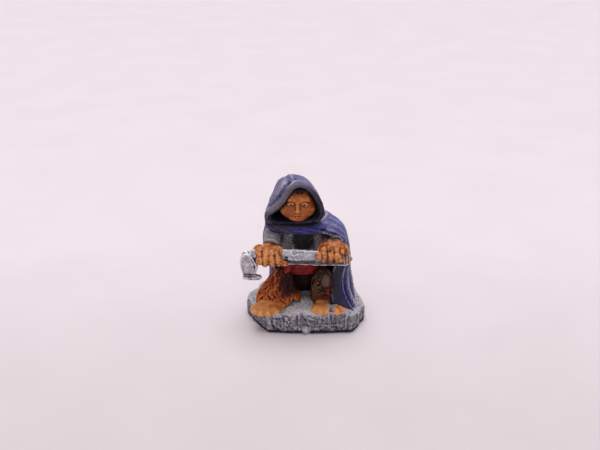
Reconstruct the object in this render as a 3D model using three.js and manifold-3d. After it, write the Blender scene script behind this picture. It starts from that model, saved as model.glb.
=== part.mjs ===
// A cloaked, hooded miniature figure crouching on a slab of rock, with a ridged haft held level in
// both fists and an axe head hanging from the end of the haft beside its right fist.
// Millimetres, +Z up, the figure faces -Y. The origin is the centre of the underside.
import * as THREE from "three";
import { mergeVertices } from "three/addons/utils/BufferGeometryUtils.js";
import Module from "manifold-3d";

const wasm = await Module();
wasm.setup();

// ---------------------------------------------------------------- driving dimensions
const GAP = 0.09; // clearance left between two neighbouring elements
const ROCK_TOP = 2.72; // height of the slab's upper face in the middle
const CLOAK_THICK = 0.6; // wall of the cloak
const HOOD_THICK = 0.45; // wall of the hood
const HAFT_HEIGHT = 2.0; // haft section, along Z
const HAFT_DEPTH = 1.3; // haft section, along Y
const HAFT_LEFT = [-6.85, -5.3, 10.68]; // haft axis at the axe head
const HAFT_RIGHT = [5.85, -5.15, 10.12]; // haft axis at the butt
const FINGER_R = 0.46;
const TOE_R = 0.42;

// Plan of the slab, anticlockwise from the front left corner.
const ROCK_PLAN = [
  [-4.5, -6.45], [-2.4, -6.7], [0.4, -6.85], [3.4, -6.7], [6.5, -6.4], [7.25, -5.2],
  [7.45, -4.2], [8.3, -2.9], [8.2, -1.2], [7.6, 1.6], [7.1, 3.6], [5.7, 5.6],
  [2.6, 6.5], [-1.6, 6.5], [-4.4, 5.7], [-5.6, 4.2], [-6.3, 2.3], [-7.4, 0.8],
  [-7.5, -0.9], [-6.9, -2.4], [-5.6, -5.0],
];

// Cloak: rows from neck to hem, columns from the figure's right front edge round the back to its left front edge.
const CLOAK_NET = [
  [[-3.7, -2.5, 13.7], [-4.0, -1.6, 14.1], [-3.9, -0.2, 14.4], [-2.6, 1.6, 14.7], [0.0, 2.4, 14.8], [2.3, 1.7, 14.75], [3.2, 0.2, 14.6], [3.0, -1.3, 14.45], [2.2, -2.6, 14.2], [1.2, -3.5, 13.8]],
  [[-4.4, -2.6, 13.1], [-4.7, -1.7, 13.3], [-4.6, -0.2, 13.5], [-3.2, 2.2, 13.8], [0.1, 3.2, 13.9], [3.2, 2.5, 13.85], [4.45, 0.5, 13.85], [4.5, -1.4, 13.7], [3.85, -2.8, 13.35], [2.6, -3.6, 13.0]],
  [[-4.8, -2.4, 12.2], [-4.95, -1.5, 12.2], [-4.85, 0.2, 12.3], [-3.4, 2.8, 12.4], [0.2, 3.9, 12.6], [3.6, 3.2, 12.6], [5.2, 1.0, 12.5], [5.5, -1.2, 12.3], [5.2, -2.6, 12.1], [4.5, -3.4, 12.4]],
  [[-5.0, -1.9, 10.9], [-5.1, -1.0, 10.8], [-5.0, 0.9, 10.8], [-3.5, 3.3, 10.9], [0.2, 4.4, 11.0], [3.8, 3.7, 11.0], [5.6, 1.3, 10.9], [5.9, -1.0, 10.8], [5.8, -2.3, 10.9], [5.55, -3.0, 11.3]],
  [[-4.8, -1.4, 9.2], [-4.95, -0.5, 9.0], [-4.8, 1.4, 8.9], [-3.5, 3.7, 8.8], [0.2, 4.7, 8.9], [3.9, 4.0, 8.9], [5.8, 1.5, 8.9], [6.1, -1.0, 8.9], [5.9, -2.3, 9.0], [5.3, -2.9, 9.3]],
  [[-4.1, -0.9, 7.0], [-4.35, 0.2, 6.9], [-4.4, 1.9, 6.8], [-3.3, 4.0, 6.7], [0.2, 5.0, 6.7], [4.0, 4.4, 6.7], [5.9, 1.9, 6.7], [6.2, -1.0, 6.7], [5.35, -2.95, 6.8], [4.05, -3.0, 7.0]],
  [[-4.0, -0.3, 4.7], [-4.3, 0.9, 4.6], [-4.4, 2.5, 4.5], [-3.4, 4.5, 4.4], [0.2, 5.4, 4.4], [4.0, 4.8, 4.4], [6.2, 2.3, 4.4], [6.55, -1.2, 4.4], [5.45, -3.4, 4.5], [3.95, -3.2, 4.7]],
  [[-4.1, 0.2, 2.9], [-4.6, 1.4, 2.8], [-4.7, 3.1, 2.8], [-3.6, 4.9, 2.8], [0.2, 5.7, 2.8], [4.1, 5.2, 2.8], [6.2, 2.7, 2.7], [6.85, -1.5, 2.4], [6.75, -4.8, 2.2], [4.1, -3.8, 2.9]],
];

// Hood: [z, right side, left side, front, back] from the crown to the neck.
const HOOD_ROWS = [
  [19.6, -1.1, -0.7, -1.1, -0.7], [19.42, -2.35, -0.05, -2.5, 0.5], [18.95, -3.15, 0.62, -3.05, 1.25], [18.2, -3.62, 1.2, -3.15, 1.9],
  [17.3, -3.98, 1.85, -3.15, 2.35], [16.3, -4.3, 2.38, -3.15, 2.5], [15.4, -4.68, 2.7, -3.15, 2.5], [14.6, -4.72, 2.55, -3.0, 2.4],
  [14.05, -4.2, 2.0, -2.6, 2.1], [13.8, -1.4, -0.6, -0.9, -0.3],
];

// Rolled edge of the hood, once round from its peak: [x, y, z, half width].
const RIM_LOOP = [
  [-0.35, -3.35, 19.28, 0.34], [0.68, -3.4, 18.9, 0.36], [1.55, -3.45, 17.95, 0.42], [2.15, -3.45, 16.8, 0.46], [2.35, -3.45, 15.7, 0.46],
  [2.0, -3.5, 14.85, 0.42], [1.1, -3.7, 14.3, 0.32], [-0.5, -3.9, 14.0, 0.28], [-2.3, -3.85, 13.98, 0.28], [-3.75, -3.6, 14.15, 0.3],
  [-4.5, -3.3, 14.75, 0.34], [-4.35, -3.25, 15.45, 0.4], [-3.4, -3.3, 16.15, 0.42], [-2.6, -3.35, 17.0, 0.42], [-1.95, -3.35, 17.95, 0.4], [-1.25, -3.35, 18.9, 0.36],
];

// ---------------------------------------------------------------- geometry helpers
const vec = (p) => new THREE.Vector3(...p);

// A closed three.js geometry as a solid, turned the right way out.
function solid(geometry) {
  const g = geometry.clone();
  g.deleteAttribute("normal");
  g.deleteAttribute("uv");
  const merged = mergeVertices(g, 1e-4);
  const build = (flip) => {
    const from = merged.index.array;
    const tri = [];
    for (let i = 0; i < from.length; i += 3) {
      const [a, b, c] = [from[i], from[i + 1], from[i + 2]];
      if (a !== b && b !== c && a !== c) tri.push(...(flip ? [a, c, b] : [a, b, c]));
    }
    return new wasm.Manifold(
      new wasm.Mesh({ numProp: 3, vertProperties: new Float32Array(merged.attributes.position.array), triVerts: new Uint32Array(tri) }),
    );
  };
  const made = build(false);
  return made.volume() < 0 ? build(true) : made;
}

const join = (parts) => parts.reduce((a, b) => a.add(b));
const cut = (body, ...tools) => tools.reduce((a, b) => a.subtract(b), body);

// The largest of the bodies a cut leaves.
function largest(body) {
  return body.decompose().reduce((a, b) => (b.volume() > a.volume() ? b : a));
}

// Moves each vertex of a three.js geometry by a function.
function mapped(geometry, f) {
  const p = geometry.attributes.position;
  for (let i = 0; i < p.count; i++) p.setXYZ(i, ...f(p.getX(i), p.getY(i), p.getZ(i), i));
  return geometry;
}

function ellipsoid(centre, radii, grow = 0, turn = [0, 0, 0], w = 14, h = 10) {
  const g = new THREE.SphereGeometry(1, w, h);
  g.scale(radii[0] + grow, radii[1] + grow, radii[2] + grow);
  g.applyMatrix4(new THREE.Matrix4().makeRotationFromEuler(new THREE.Euler(...turn.map((d) => (d * Math.PI) / 180))));
  g.translate(...centre);
  return solid(g);
}

// A round-ended limb along a smooth curve. radii are [across, thick] at even steps; side is the direction of "across".
function limb(points, radii, side = [1, 0, 0], grow = 0, w = 10, mid = 5, caps = 3) {
  const pts = points.map(vec);
  const n = pts.length;
  if (grow) {
    const a = pts[0].clone().sub(pts[1]).normalize();
    const b = pts[n - 1].clone().sub(pts[n - 2]).normalize();
    pts[0].addScaledVector(a, grow);
    pts[n - 1].addScaledVector(b, grow);
  }
  const curve = new THREE.CatmullRomCurve3(pts, false, "centripetal");
  const length = curve.getLength();
  const at = (t) => {
    const x = t * (radii.length - 1);
    const i = Math.min(Math.floor(x), radii.length - 2);
    return [0, 1].map((k) => radii[i][k] + (radii[i + 1][k] - radii[i][k]) * (x - i) + grow);
  };
  const end = [Math.min(...at(0)) / length, Math.min(...at(1)) / length].map((e) => Math.min(e, 0.45));
  const ring = [];
  for (let i = 0; i < caps; i++) ring.push([end[0] * (1 - Math.cos((i * Math.PI) / 2 / caps)), Math.sin((i * Math.PI) / 2 / caps)]);
  for (let i = 0; i <= mid; i++) ring.push([end[0] + ((1 - end[0] - end[1]) * i) / mid, 1]);
  for (let i = caps - 1; i >= 0; i--) ring.push([1 - end[1] * (1 - Math.cos((i * Math.PI) / 2 / caps)), Math.sin((i * Math.PI) / 2 / caps)]);
  const h = ring.length - 1;
  const across = vec(side);
  return solid(
    mapped(new THREE.SphereGeometry(1, w, h), (x, y, z, i) => {
      const iy = Math.floor(i / (w + 1));
      const ix = (i % (w + 1)) % w;
      const [t, f] = ring[iy];
      const p = curve.getPointAt(t);
      const along = curve.getTangentAt(t);
      const a = across.clone().addScaledVector(along, -across.dot(along)).normalize();
      const b = along.clone().cross(a);
      const [ra, rb] = at(t);
      const q = (ix / w) * Math.PI * 2;
      p.addScaledVector(a, Math.cos(q) * ra * f).addScaledVector(b, Math.sin(q) * rb * f);
      return [p.x, p.y, p.z];
    }),
  );
}

// A point on a net of control points, smooth along both of its directions.
function netPoint(net, u, v) {
  const spline = (row, t) => new THREE.CatmullRomCurve3(row, false, "centripetal").getPoint(t);
  return spline(net.map((row) => spline(row, u)), v);
}

// A wall of the given thickness under a net; side picks the inner face (grow widens the wall both ways).
function wall(net, thick, grow = 0, nu = 20, nv = 11) {
  const rows = net.map((row) => row.map(vec));
  const key = new Map();
  const sample = (u, v) => {
    const k = u.toFixed(5) + "," + v.toFixed(5);
    if (!key.has(k)) key.set(k, netPoint(rows, u, v));
    return key.get(k);
  };
  return solid(
    mapped(new THREE.BoxGeometry(1, 1, 1, nu, nv, 1), (x, y, z) => {
      const u = Math.round((x + 0.5) * nu) / nu;
      const v = Math.round((0.5 - y) * nv) / nv;
      const e = 1e-3;
      const du = sample(Math.min(u + e, 1), v).clone().sub(sample(Math.max(u - e, 0), v));
      const dv = sample(u, Math.min(v + e, 1)).clone().sub(sample(u, Math.max(v - e, 0)));
      const n = dv.cross(du).normalize();
      const p = sample(u, v).clone();
      p.addScaledVector(n, z > 0 ? -grow : thick + grow);
      return [p.x, p.y, p.z];
    }),
  );
}

// ---------------------------------------------------------------- the slab of rock
function planRadius(angle) {
  const d = [Math.cos(angle), Math.sin(angle)];
  let best = 0;
  ROCK_PLAN.forEach((p, i) => {
    const q = ROCK_PLAN[(i + 1) % ROCK_PLAN.length];
    const e = [q[0] - p[0], q[1] - p[1]];
    const det = d[0] * -e[1] + d[1] * e[0];
    const t = (p[0] * -e[1] + p[1] * e[0]) / det;
    const s = (d[0] * p[1] - d[1] * p[0]) / det;
    if (t > 0 && s >= -1e-9 && s <= 1 + 1e-9) best = Math.max(best, t);
  });
  return best;
}
const ease = (t) => Math.min(1, Math.max(0, t)) ** 2 * (3 - 2 * Math.min(1, Math.max(0, t)));
const rockTop = (x, y) =>
  ROCK_TOP + 0.2 * Math.exp(-(((x - 0.2) / 1.7) ** 2)) + 0.06 * Math.sin(1.3 * x + 0.6) * Math.cos(0.9 * y) - 0.42 * ease((-x - 2.4) / 2.2) - 0.6 * ease((x - 5.1) / 2.6);

function rockBase() {
  const n = 12;
  const slab = mapped(new THREE.BoxGeometry(2, 2, 1, n, n, 3), (x, y, z) => {
    const r = Math.max(Math.abs(x), Math.abs(y));
    let a = 0;
    if (r > 1e-6) {
      if (Math.abs(x) >= Math.abs(y)) a = (Math.PI / 4) * (y / x) + (x < 0 ? Math.PI : 0);
      else a = Math.PI / 2 - (Math.PI / 4) * (x / y) + (y < 0 ? Math.PI : 0);
    }
    const t = Math.round((z + 0.5) * 3) / 3;
    const flank = [0.985, 1.0, 0.985, 0.955][Math.round(t * 3)];
    const s = r * planRadius(a) * (r > 0.999 ? flank * (1 + (t > 0.1 && t < 0.9 ? 0.012 * Math.sin(17 * a) : 0)) : 0.96);
    const px = s * Math.cos(a);
    const py = s * Math.sin(a);
    const top = rockTop(px, py) - (r > 0.999 ? 0.12 : 0);
    return [px, py, t < 0.01 ? 0 : t * top];
  });
  const nub = ellipsoid([0.45, -6.8, 0.62], [0.36, 0.34, 0.56], 0, [8, 0, 0], 8, 6);
  return solid(slab).add(nub);
}

// ---------------------------------------------------------------- body elements, each as a function of how far it is grown
const FINGER = (points, g, r = FINGER_R) => limb(points, [[r * 0.9, r * 0.85], [r, r * 0.95], [r * 0.85, r * 0.85]], [1, 0, 0], g, 6, 4, 2);
const TOE = (from, to, r, g) => limb([from, to], [[0.5, 0.46], [r, TOE_R]], [1, 0, 0], g, 6, 1, 2);

const shape = {
  right_foot: (g = 0) =>
    join([
      limb([[-3.4, -2.3, 3.35], [-4.1, -3.6, 3.4], [-4.8, -5.0, 2.95]], [[1.2, 1.0], [1.5, 1.0], [1.8, 0.55]], [0.8, -0.6, 0], g, 10, 4, 2),
      ...[[-6.3, -5.0], [-6.05, -5.75], [-5.35, -6.2], [-4.45, -6.4], [-3.45, -6.25]].map(([x, y], i) =>
        TOE([-4.85 + (x + 4.95) * 0.35, -4.9 + (y + 6) * 0.2, 2.85], [x, y, 2.6], i < 4 ? 0.43 : 0.54, g)),
    ]),
  left_foot: (g = 0) =>
    join([
      limb([[2.7, -1.9, 3.6], [2.95, -3.4, 3.6], [3.3, -5.1, 3.25]], [[1.1, 1.0], [1.4, 1.0], [1.75, 0.5]], [1, 0, 0], g, 10, 4, 2),
      ...[[1.75, -6.1], [2.6, -6.45], [3.5, -6.5], [4.35, -6.35], [5.1, -5.9]].map(([x, y], i) =>
        TOE([3.3 + (x - 3.4) * 0.5, -5.0, 3.2], [x, y, 3.05 - 0.12 * Math.max(0, i - 2)], i > 0 ? 0.43 : 0.54, g)),
    ]),
  right_leg: (g = 0) =>
    join([
      limb([[-3.35, -2.7, 3.5], [-3.15, -3.1, 5.1], [-2.7, -3.35, 7.1]], [[2.7, 1.5], [2.3, 1.55], [1.6, 1.4], [1.05, 1.1]], [1, 0, 0], g, 14, 5),
      limb([[-2.7, -3.4, 6.9], [-2.1, -1.6, 6.8], [-1.3, 0.6, 6.3]], [[1.0, 1.0], [1.3, 1.25], [1.5, 1.5]], [1, 0, 0], g, 10, 3),
    ]),
  left_leg: (g = 0) =>
    join([
      limb([[2.7, -2.2, 3.7], [2.75, -3.1, 5.1], [2.6, -3.45, 6.9]], [[1.5, 1.3], [1.45, 1.4], [1.15, 1.2], [1.0, 1.0]], [1, 0, 0], g, 12, 5),
      limb([[2.6, -3.5, 6.8], [2.2, -1.5, 6.7], [1.5, 0.6, 6.3]], [[0.95, 0.95], [1.25, 1.2], [1.5, 1.5]], [1, 0, 0], g, 10, 3),
    ]),
  breeches: (g = 0) => ellipsoid([0.0, 1.1, 5.6], [3.4, 2.7, 3.0], g, [0, 0, 0], 16, 10),
  waist_sash: (g = 0) =>
    join([
      limb([[-0.1, -0.55, 6.95], [-0.1, -0.55, 8.9]], [[3.15, 2.75], [3.25, 2.8], [3.15, 2.7], [2.9, 2.5]], [1, 0, 0], g, 20, 3),
      limb([[-1.3, -2.7, 8.2], [-2.1, -3.3, 7.6], [-2.75, -3.5, 6.9]], [[0.5, 0.5], [0.8, 0.7], [0.7, 0.6]], [1, 0, 0], g, 8, 3),
    ]),
  mail_shirt: (g = 0) =>
    limb([[-0.1, -0.3, 8.3], [-0.1, -0.55, 10.4], [-0.15, -0.8, 12.4], [-0.3, -0.9, 14.2]], [[2.85, 2.5], [3.15, 2.65], [3.3, 2.7], [3.0, 2.5], [1.7, 1.7]], [1, 0, 0], g, 18, 6),
  right_sleeve: (g = 0) =>
    limb([[-3.1, -0.9, 12.8], [-3.85, -2.1, 12.0], [-3.95, -3.5, 11.3]], [[1.15, 1.15], [1.15, 1.15], [1.05, 1.05]], [1, 0, 0], g, 12, 3),
  left_sleeve: (g = 0) =>
    limb([[2.9, -0.9, 12.6], [3.85, -1.9, 11.9], [4.05, -3.2, 11.3]], [[1.15, 1.15], [1.15, 1.15], [1.05, 1.05]], [1, 0, 0], g, 12, 3),
  right_forearm: (g = 0) =>
    limb([[-4.05, -2.9, 11.4], [-4.4, -4.0, 11.0], [-4.4, -5.0, 10.8]], [[0.85, 0.85], [0.9, 0.85], [0.95, 0.85]], [1, 0, 0], g, 10, 3),
  left_forearm: (g = 0) =>
    limb([[4.1, -2.6, 11.4], [4.2, -3.8, 11.4], [4.1, -4.6, 11.4]], [[0.85, 0.85], [0.9, 0.85], [0.95, 0.85]], [1, 0, 0], g, 10, 3),
  right_hand: (g = 0) =>
    join([
      limb([[-5.9, -5.05, 10.95], [-3.0, -5.05, 10.85]], [[0.95, 1.15], [1.15, 1.35], [1.0, 1.2]], [0, 1, 0], g, 10, 2, 2),
      ...[-5.75, -4.85, -4.0, -3.2].map((x, i) =>
        FINGER([[x + 0.1, -5.2, 11.75], [x, -6.15, 11.45], [x + 0.05, -6.5, 10.5], [x + 0.1, -6.2, 9.6], [x + 0.1, -5.4, 9.35]], g, 0.5 - (i === 0 ? 0.04 : 0))),
      limb([[-3.3, -5.6, 10.3], [-2.5, -6.2, 10.05], [-1.75, -6.25, 9.95]], [[0.55, 0.5], [0.5, 0.46], [0.38, 0.36]], [0, 0, 1], g, 6, 3, 2),
    ]),
  left_hand: (g = 0) =>
    join([
      limb([[3.0, -4.75, 11.05], [5.6, -4.75, 10.9]], [[0.95, 1.15], [1.15, 1.35], [0.95, 1.15]], [0, 1, 0], g, 10, 2, 2),
      ...[2.9, 3.82, 4.74, 5.55].map((x, i) =>
        FINGER([[x - 0.05, -4.7, 12.0], [x, -5.75, 11.65], [x, -6.3, 10.75], [x, -6.15, 9.9], [x - 0.05, -5.5, 9.4]], g, i === 3 ? 0.46 : 0.52)),
      limb([[3.2, -5.3, 11.2], [2.5, -5.9, 11.05], [1.85, -6.1, 10.9]], [[0.55, 0.5], [0.5, 0.48], [0.4, 0.36]], [0, 0, 1], g, 6, 3, 2),
    ]),
  head: (g = 0) =>
    join([
      ellipsoid([-0.65, -1.6, 16.55], [2.15, 2.1, 2.2], g, [0, 0, 0], 16, 12),
      limb([[-0.6, -3.4, 16.9], [-0.6, -4.0, 16.2]], [[0.28, 0.28], [0.42, 0.36]], [1, 0, 0], g, 7, 1),
      ellipsoid([-0.65, -3.0, 15.05], [0.8, 0.6, 0.5], g, [0, 0, 0], 9, 6),
      limb([[-0.3, -1.2, 13.6], [-0.4, -1.3, 15.2]], [[1.3, 1.2], [1.4, 1.3]], [1, 0, 0], g, 10, 1),
    ]),
  haft_knob: (g = 0) => ellipsoid([6.0, -5.0, 9.9], [0.5, 0.58, 0.62], g, [0, 0, 0], 10, 7),
  haft_tip: (g = 0) => ellipsoid([-7.22, -5.3, 10.78], [0.42, 0.5, 0.42], g, [0, 0, 0], 8, 6),
};

// The axe head: an outline in the plane of the haft, thick at the eye and thin at the edge below.
shape.axe_head = (g = 0) => {
  const s = new THREE.Shape();
  s.moveTo(-7.6, 10.95);
  s.lineTo(-6.7, 10.95);
  s.lineTo(-6.3, 10.4);
  s.quadraticCurveTo(-5.65, 8.9, -6.1, 8.15);
  s.quadraticCurveTo(-5.35, 7.95, -5.25, 7.6);
  s.quadraticCurveTo(-5.3, 7.2, -5.9, 7.12);
  s.lineTo(-7.05, 7.12);
  s.quadraticCurveTo(-7.9, 7.9, -8.0, 9.6);
  s.lineTo(-7.6, 10.95);
  const plate = new THREE.ExtrudeGeometry(s, { depth: 1, bevelEnabled: false, curveSegments: 4, steps: 2 });
  return solid(
    mapped(plate, (x, y, z) => {
      const down = Math.max(0, (10.0 - y) / 2.9);
      const half = 0.68 - 0.44 * Math.min(1, down) ** 0.8 + g;
      return [x + Math.sign(x + 6.8) * g, HAFT_LEFT[1] + (z - 0.5) * 2 * half, y + Math.sign(y - 9.2) * g];
    }),
  );
};

// The haft: a ridged bar, its section an upright octagon that is fullest in the middle of its length.
shape.axe_haft = (g = 0) => {
  const [a, b] = [vec(HAFT_LEFT), vec(HAFT_RIGHT)];
  const dir = b.clone().sub(a).normalize();
  a.addScaledVector(dir, -g);
  b.addScaledVector(dir, g);
  const h = HAFT_HEIGHT / 2;
  const d = HAFT_DEPTH / 2;
  const ring = [[0.15, 1], [0.8, 0.5], [1, -0.05], [0.5, -0.9], [-0.1, -1], [-0.8, -0.6], [-0.9, 0.3], [-0.5, 0.95]];
  return solid(
    mapped(new THREE.CylinderGeometry(1, 1, 1, 8, 5), (x, y, z) => {
      const t = Math.round((y + 0.5) * 5) / 5;
      const r = Math.hypot(x, z);
      const k = ((Math.round((Math.atan2(z, x) / (2 * Math.PI)) * 8) % 8) + 8) % 8;
      const p = a.clone().lerp(b, t);
      const on = r < 0.5 ? 0 : 1;
      const s = 0.78 + 0.22 * Math.sin(Math.PI * Math.min(1, t * 0.9 + 0.06));
      return [p.x, p.y - on * ring[k][0] * (d * s + g), p.z + on * ring[k][1] * (h * s + g)];
    }),
  );
};

// ---------------------------------------------------------------- hood, its rolled edge, forelock, and the cowl that joins it to the cloak
const RIM_CENTRE = new THREE.Vector3(-0.7, 0, 16.4);
const rimTube = (g, back, wide) => {
  const curve = new THREE.CatmullRomCurve3(RIM_LOOP.map(([x, y, z]) => new THREE.Vector3(x, y, z)), true, "centripetal");
  const width = RIM_LOOP.map((p) => p[3]);
  const w = 7;
  const n = 32;
  return solid(
    mapped(new THREE.TorusGeometry(2, 1, w, n), (x, y, z, i) => {
      const j = Math.floor(i / (n + 1)) % w;
      const t = ((i % (n + 1)) % n) / n;
      const p = curve.getPoint(t);
      const out = p.clone().sub(RIM_CENTRE).setY(0).normalize();
      const k = t * width.length;
      const half = THREE.MathUtils.lerp(width[Math.floor(k) % width.length], width[(Math.floor(k) + 1) % width.length], k % 1);
      const q = (j / w) * Math.PI * 2;
      p.addScaledVector(out, Math.cos(q) * (half * wide + g)).add(new THREE.Vector3(0, back + Math.sin(q) * (half * wide * 1.15 + g), 0));
      return [p.x, p.y, p.z];
    }),
  );
};
shape.hood_rim = (g = 0) => rimTube(g, 0, 1);
// the collar of cloth that carries the hood's wall forward to its rolled edge
const hoodCollar = (g = 0) => rimTube(g, 0.85, 1.15);

const hoodRow = (t) => {
  const x = t * (HOOD_ROWS.length - 1);
  const i = Math.min(Math.floor(x), HOOD_ROWS.length - 2);
  const at = (k, c) => HOOD_ROWS[Math.min(Math.max(k, 0), HOOD_ROWS.length - 1)][c];
  return HOOD_ROWS[0].map((_, c) => {
    const [a, b, d, e] = [at(i - 1, c), at(i, c), at(i + 1, c), at(i + 2, c)];
    const f = x - i;
    return 0.5 * (2 * b + (d - a) * f + (2 * a - 5 * b + 4 * d - e) * f * f + (3 * b - a - 3 * d + e) * f * f * f);
  });
};
function hoodForm(grow, w = 18, h = 13) {
  return solid(
    mapped(new THREE.SphereGeometry(1, w, h), (x, y, z, i) => {
      const iy = Math.floor(i / (w + 1));
      const [rz, xl, xr, yf, yb] = hoodRow(iy / h);
      const q = (((i % (w + 1)) % w) / w) * Math.PI * 2;
      const pole = iy === 0 || iy === h;
      const k = Math.sign(Math.cos(q)) * Math.abs(Math.cos(q)) ** 0.8;
      const m = Math.sin(q) < 0 ? -(Math.abs(Math.sin(q)) ** 0.7) : Math.sin(q) ** 0.9;
      const [cx, cy] = [(xl + xr) / 2, (yf + yb) / 2];
      const half = pole ? 0 : Math.max((xr - xl) / 2 + grow, 0.05);
      const deep = pole ? 0 : Math.max((yb - yf) / 2 + grow, 0.05);
      return [cx + k * half, cy + m * deep, rz + grow * THREE.MathUtils.clamp((rz - 16.8) / 2.6, -1, 1)];
    }),
  );
}
shape.hood = () => {
  const loop = new THREE.CatmullRomCurve3(RIM_LOOP.map(([x, y, z]) => new THREE.Vector3(x, z, 0)), true, "centripetal");
  const [mx, mz, narrow] = [RIM_CENTRE.x, RIM_CENTRE.z, 0.86]; // the opening is a little smaller than the rolled edge round it
  const outline = new THREE.Shape(loop.getPoints(28).slice(0, -1).map((p) => new THREE.Vector2(mx + (p.x - mx) * narrow, mz + (p.y - mz) * narrow)));
  const mouth = new THREE.ExtrudeGeometry(outline, { depth: 5, bevelEnabled: false, steps: 1 });
  mouth.rotateX(Math.PI / 2);
  mouth.translate(0, -1.6, 0);
  return largest(cut(join([hoodForm(0), hoodCollar()]), hoodForm(-HOOD_THICK), solid(mouth), shape.hood_rim(GAP), shape.head(GAP)));
};

shape.cowl = (g = 0) =>
  limb([[-0.75, -0.55, 12.75], [-0.75, -0.75, 14.35]], [[3.7, 3.0], [4.0, 3.2], [3.75, 3.05], [3.3, 2.7]], [1, 0, 0], g, 22, 4);

shape.forelock = (g = 0) =>
  limb([[-0.4, -2.3, 18.9], [-0.3, -3.3, 18.9], [-0.25, -3.75, 18.3]], [[0.6, 0.25], [0.6, 0.28], [0.3, 0.2]], [1, 0, 0], g, 8, 2);

// ---------------------------------------------------------------- cut every element back from its neighbours
const s = {};
s.haft_knob = shape.haft_knob();
s.haft_tip = shape.haft_tip();
s.axe_haft = largest(cut(shape.axe_haft(), shape.haft_knob(GAP), shape.haft_tip(GAP)));
s.axe_head = largest(cut(shape.axe_head(), shape.axe_haft(GAP), shape.haft_tip(GAP)));
s.right_hand = largest(cut(shape.right_hand(), shape.axe_haft(GAP), shape.axe_head(GAP)));
s.left_hand = largest(cut(shape.left_hand(), shape.axe_haft(GAP), shape.haft_knob(GAP)));
s.mail_shirt = largest(cut(shape.mail_shirt(), shape.axe_haft(GAP)));
s.right_sleeve = largest(cut(shape.right_sleeve(), shape.mail_shirt(GAP), shape.right_hand(GAP), shape.axe_haft(GAP)));
s.left_sleeve = largest(cut(shape.left_sleeve(), shape.mail_shirt(GAP), shape.left_hand(GAP), shape.axe_haft(GAP)));
s.right_forearm = largest(cut(shape.right_forearm(), shape.axe_haft(GAP), shape.right_hand(GAP), shape.right_sleeve(GAP)));
s.left_forearm = largest(cut(shape.left_forearm(), shape.axe_haft(GAP), shape.left_hand(GAP), shape.left_sleeve(GAP)));
s.waist_sash = largest(cut(shape.waist_sash(), shape.mail_shirt(GAP)));
const overRock = solid(mapped(new THREE.BoxGeometry(20, 20, 3, 20, 20, 1), (x, y, z) => [x, y, z < 0 ? -1 : rockTop(x, y) + GAP]));
s.right_leg = largest(cut(shape.right_leg(), shape.waist_sash(GAP), shape.mail_shirt(GAP), shape.right_hand(GAP), overRock));
s.left_leg = largest(cut(shape.left_leg(), shape.waist_sash(GAP), shape.mail_shirt(GAP), shape.right_leg(GAP), overRock));
s.rock_base = rockBase();
s.breeches = largest(cut(shape.breeches(), shape.waist_sash(GAP), shape.mail_shirt(GAP), shape.right_leg(GAP), shape.left_leg(GAP), overRock));
s.right_foot = largest(cut(shape.right_foot(), shape.right_leg(GAP), overRock));
s.left_foot = largest(cut(shape.left_foot(), shape.left_leg(GAP), overRock));
s.head = largest(cut(shape.head(), shape.mail_shirt(GAP)));
s.hood_rim = largest(cut(shape.hood_rim(), shape.head(GAP)));
s.forelock = largest(cut(shape.forelock(), shape.head(GAP), shape.hood_rim(GAP)));
s.hood = largest(cut(shape.hood(), shape.forelock(GAP), shape.mail_shirt(GAP)));
s.cowl = largest(
  cut(shape.cowl(), shape.mail_shirt(GAP), shape.head(GAP), shape.hood_rim(GAP), shape.right_sleeve(GAP), shape.left_sleeve(GAP), hoodForm(GAP), hoodCollar(GAP)),
);
s.cloak = largest(
  cut(
    wall(CLOAK_NET, CLOAK_THICK), shape.mail_shirt(GAP), shape.cowl(GAP), shape.right_sleeve(GAP), shape.left_sleeve(GAP), shape.waist_sash(GAP),
    shape.breeches(GAP), shape.left_foot(GAP), shape.left_leg(GAP), shape.right_leg(GAP), shape.left_forearm(GAP), shape.right_forearm(GAP),
    shape.left_hand(GAP), shape.right_hand(GAP), hoodForm(GAP), hoodCollar(GAP), shape.hood_rim(GAP), shape.axe_haft(GAP), overRock,
  ),
);

// ---------------------------------------------------------------- colours and the scene graph
const paint = (hex, roughness = 0.6, metalness = 0.0) => new THREE.MeshStandardMaterial({ color: hex, roughness, metalness });
const COLOUR = {
  stone: paint(0x8d8a90, 0.75),
  skin: paint(0xb4713f, 0.55),
  cloth: paint(0x3d3f86, 0.6),
  cloth_dark: paint(0x2c2c5c, 0.65),
  mail: paint(0x4b4a4e, 0.45, 0.4),
  red: paint(0x6f1c1e, 0.6),
  brown: paint(0x3a211a, 0.7),
  haft: paint(0x98979f, 0.55, 0.1),
  steel: paint(0xa8a6ac, 0.35, 0.7),
  hair: paint(0x1d1c26, 0.7),
};

// Puts a solid in the scene about its own centre, so that the mesh's position says where the element is.
function element(name, body, material, parent) {
  const m = body.getMesh();
  const pos = new Float32Array(m.numVert * 3);
  for (let i = 0; i < m.numVert; i++) pos.set(m.vertProperties.subarray(i * m.numProp, i * m.numProp + 3), i * 3);
  const g = new THREE.BufferGeometry();
  g.setAttribute("position", new THREE.BufferAttribute(pos, 3));
  g.setIndex(new THREE.BufferAttribute(new Uint32Array(m.triVerts), 1));
  g.computeBoundingBox();
  const c = g.boundingBox.getCenter(new THREE.Vector3());
  g.translate(-c.x, -c.y, -c.z);
  g.computeVertexNormals();
  const mesh = new THREE.Mesh(g, material);
  mesh.name = name;
  mesh.position.copy(c);
  parent.add(mesh);
}

const miniature = new THREE.Group();
const figure = new THREE.Group();
const weapon = new THREE.Group();
miniature.add(figure, weapon);

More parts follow.
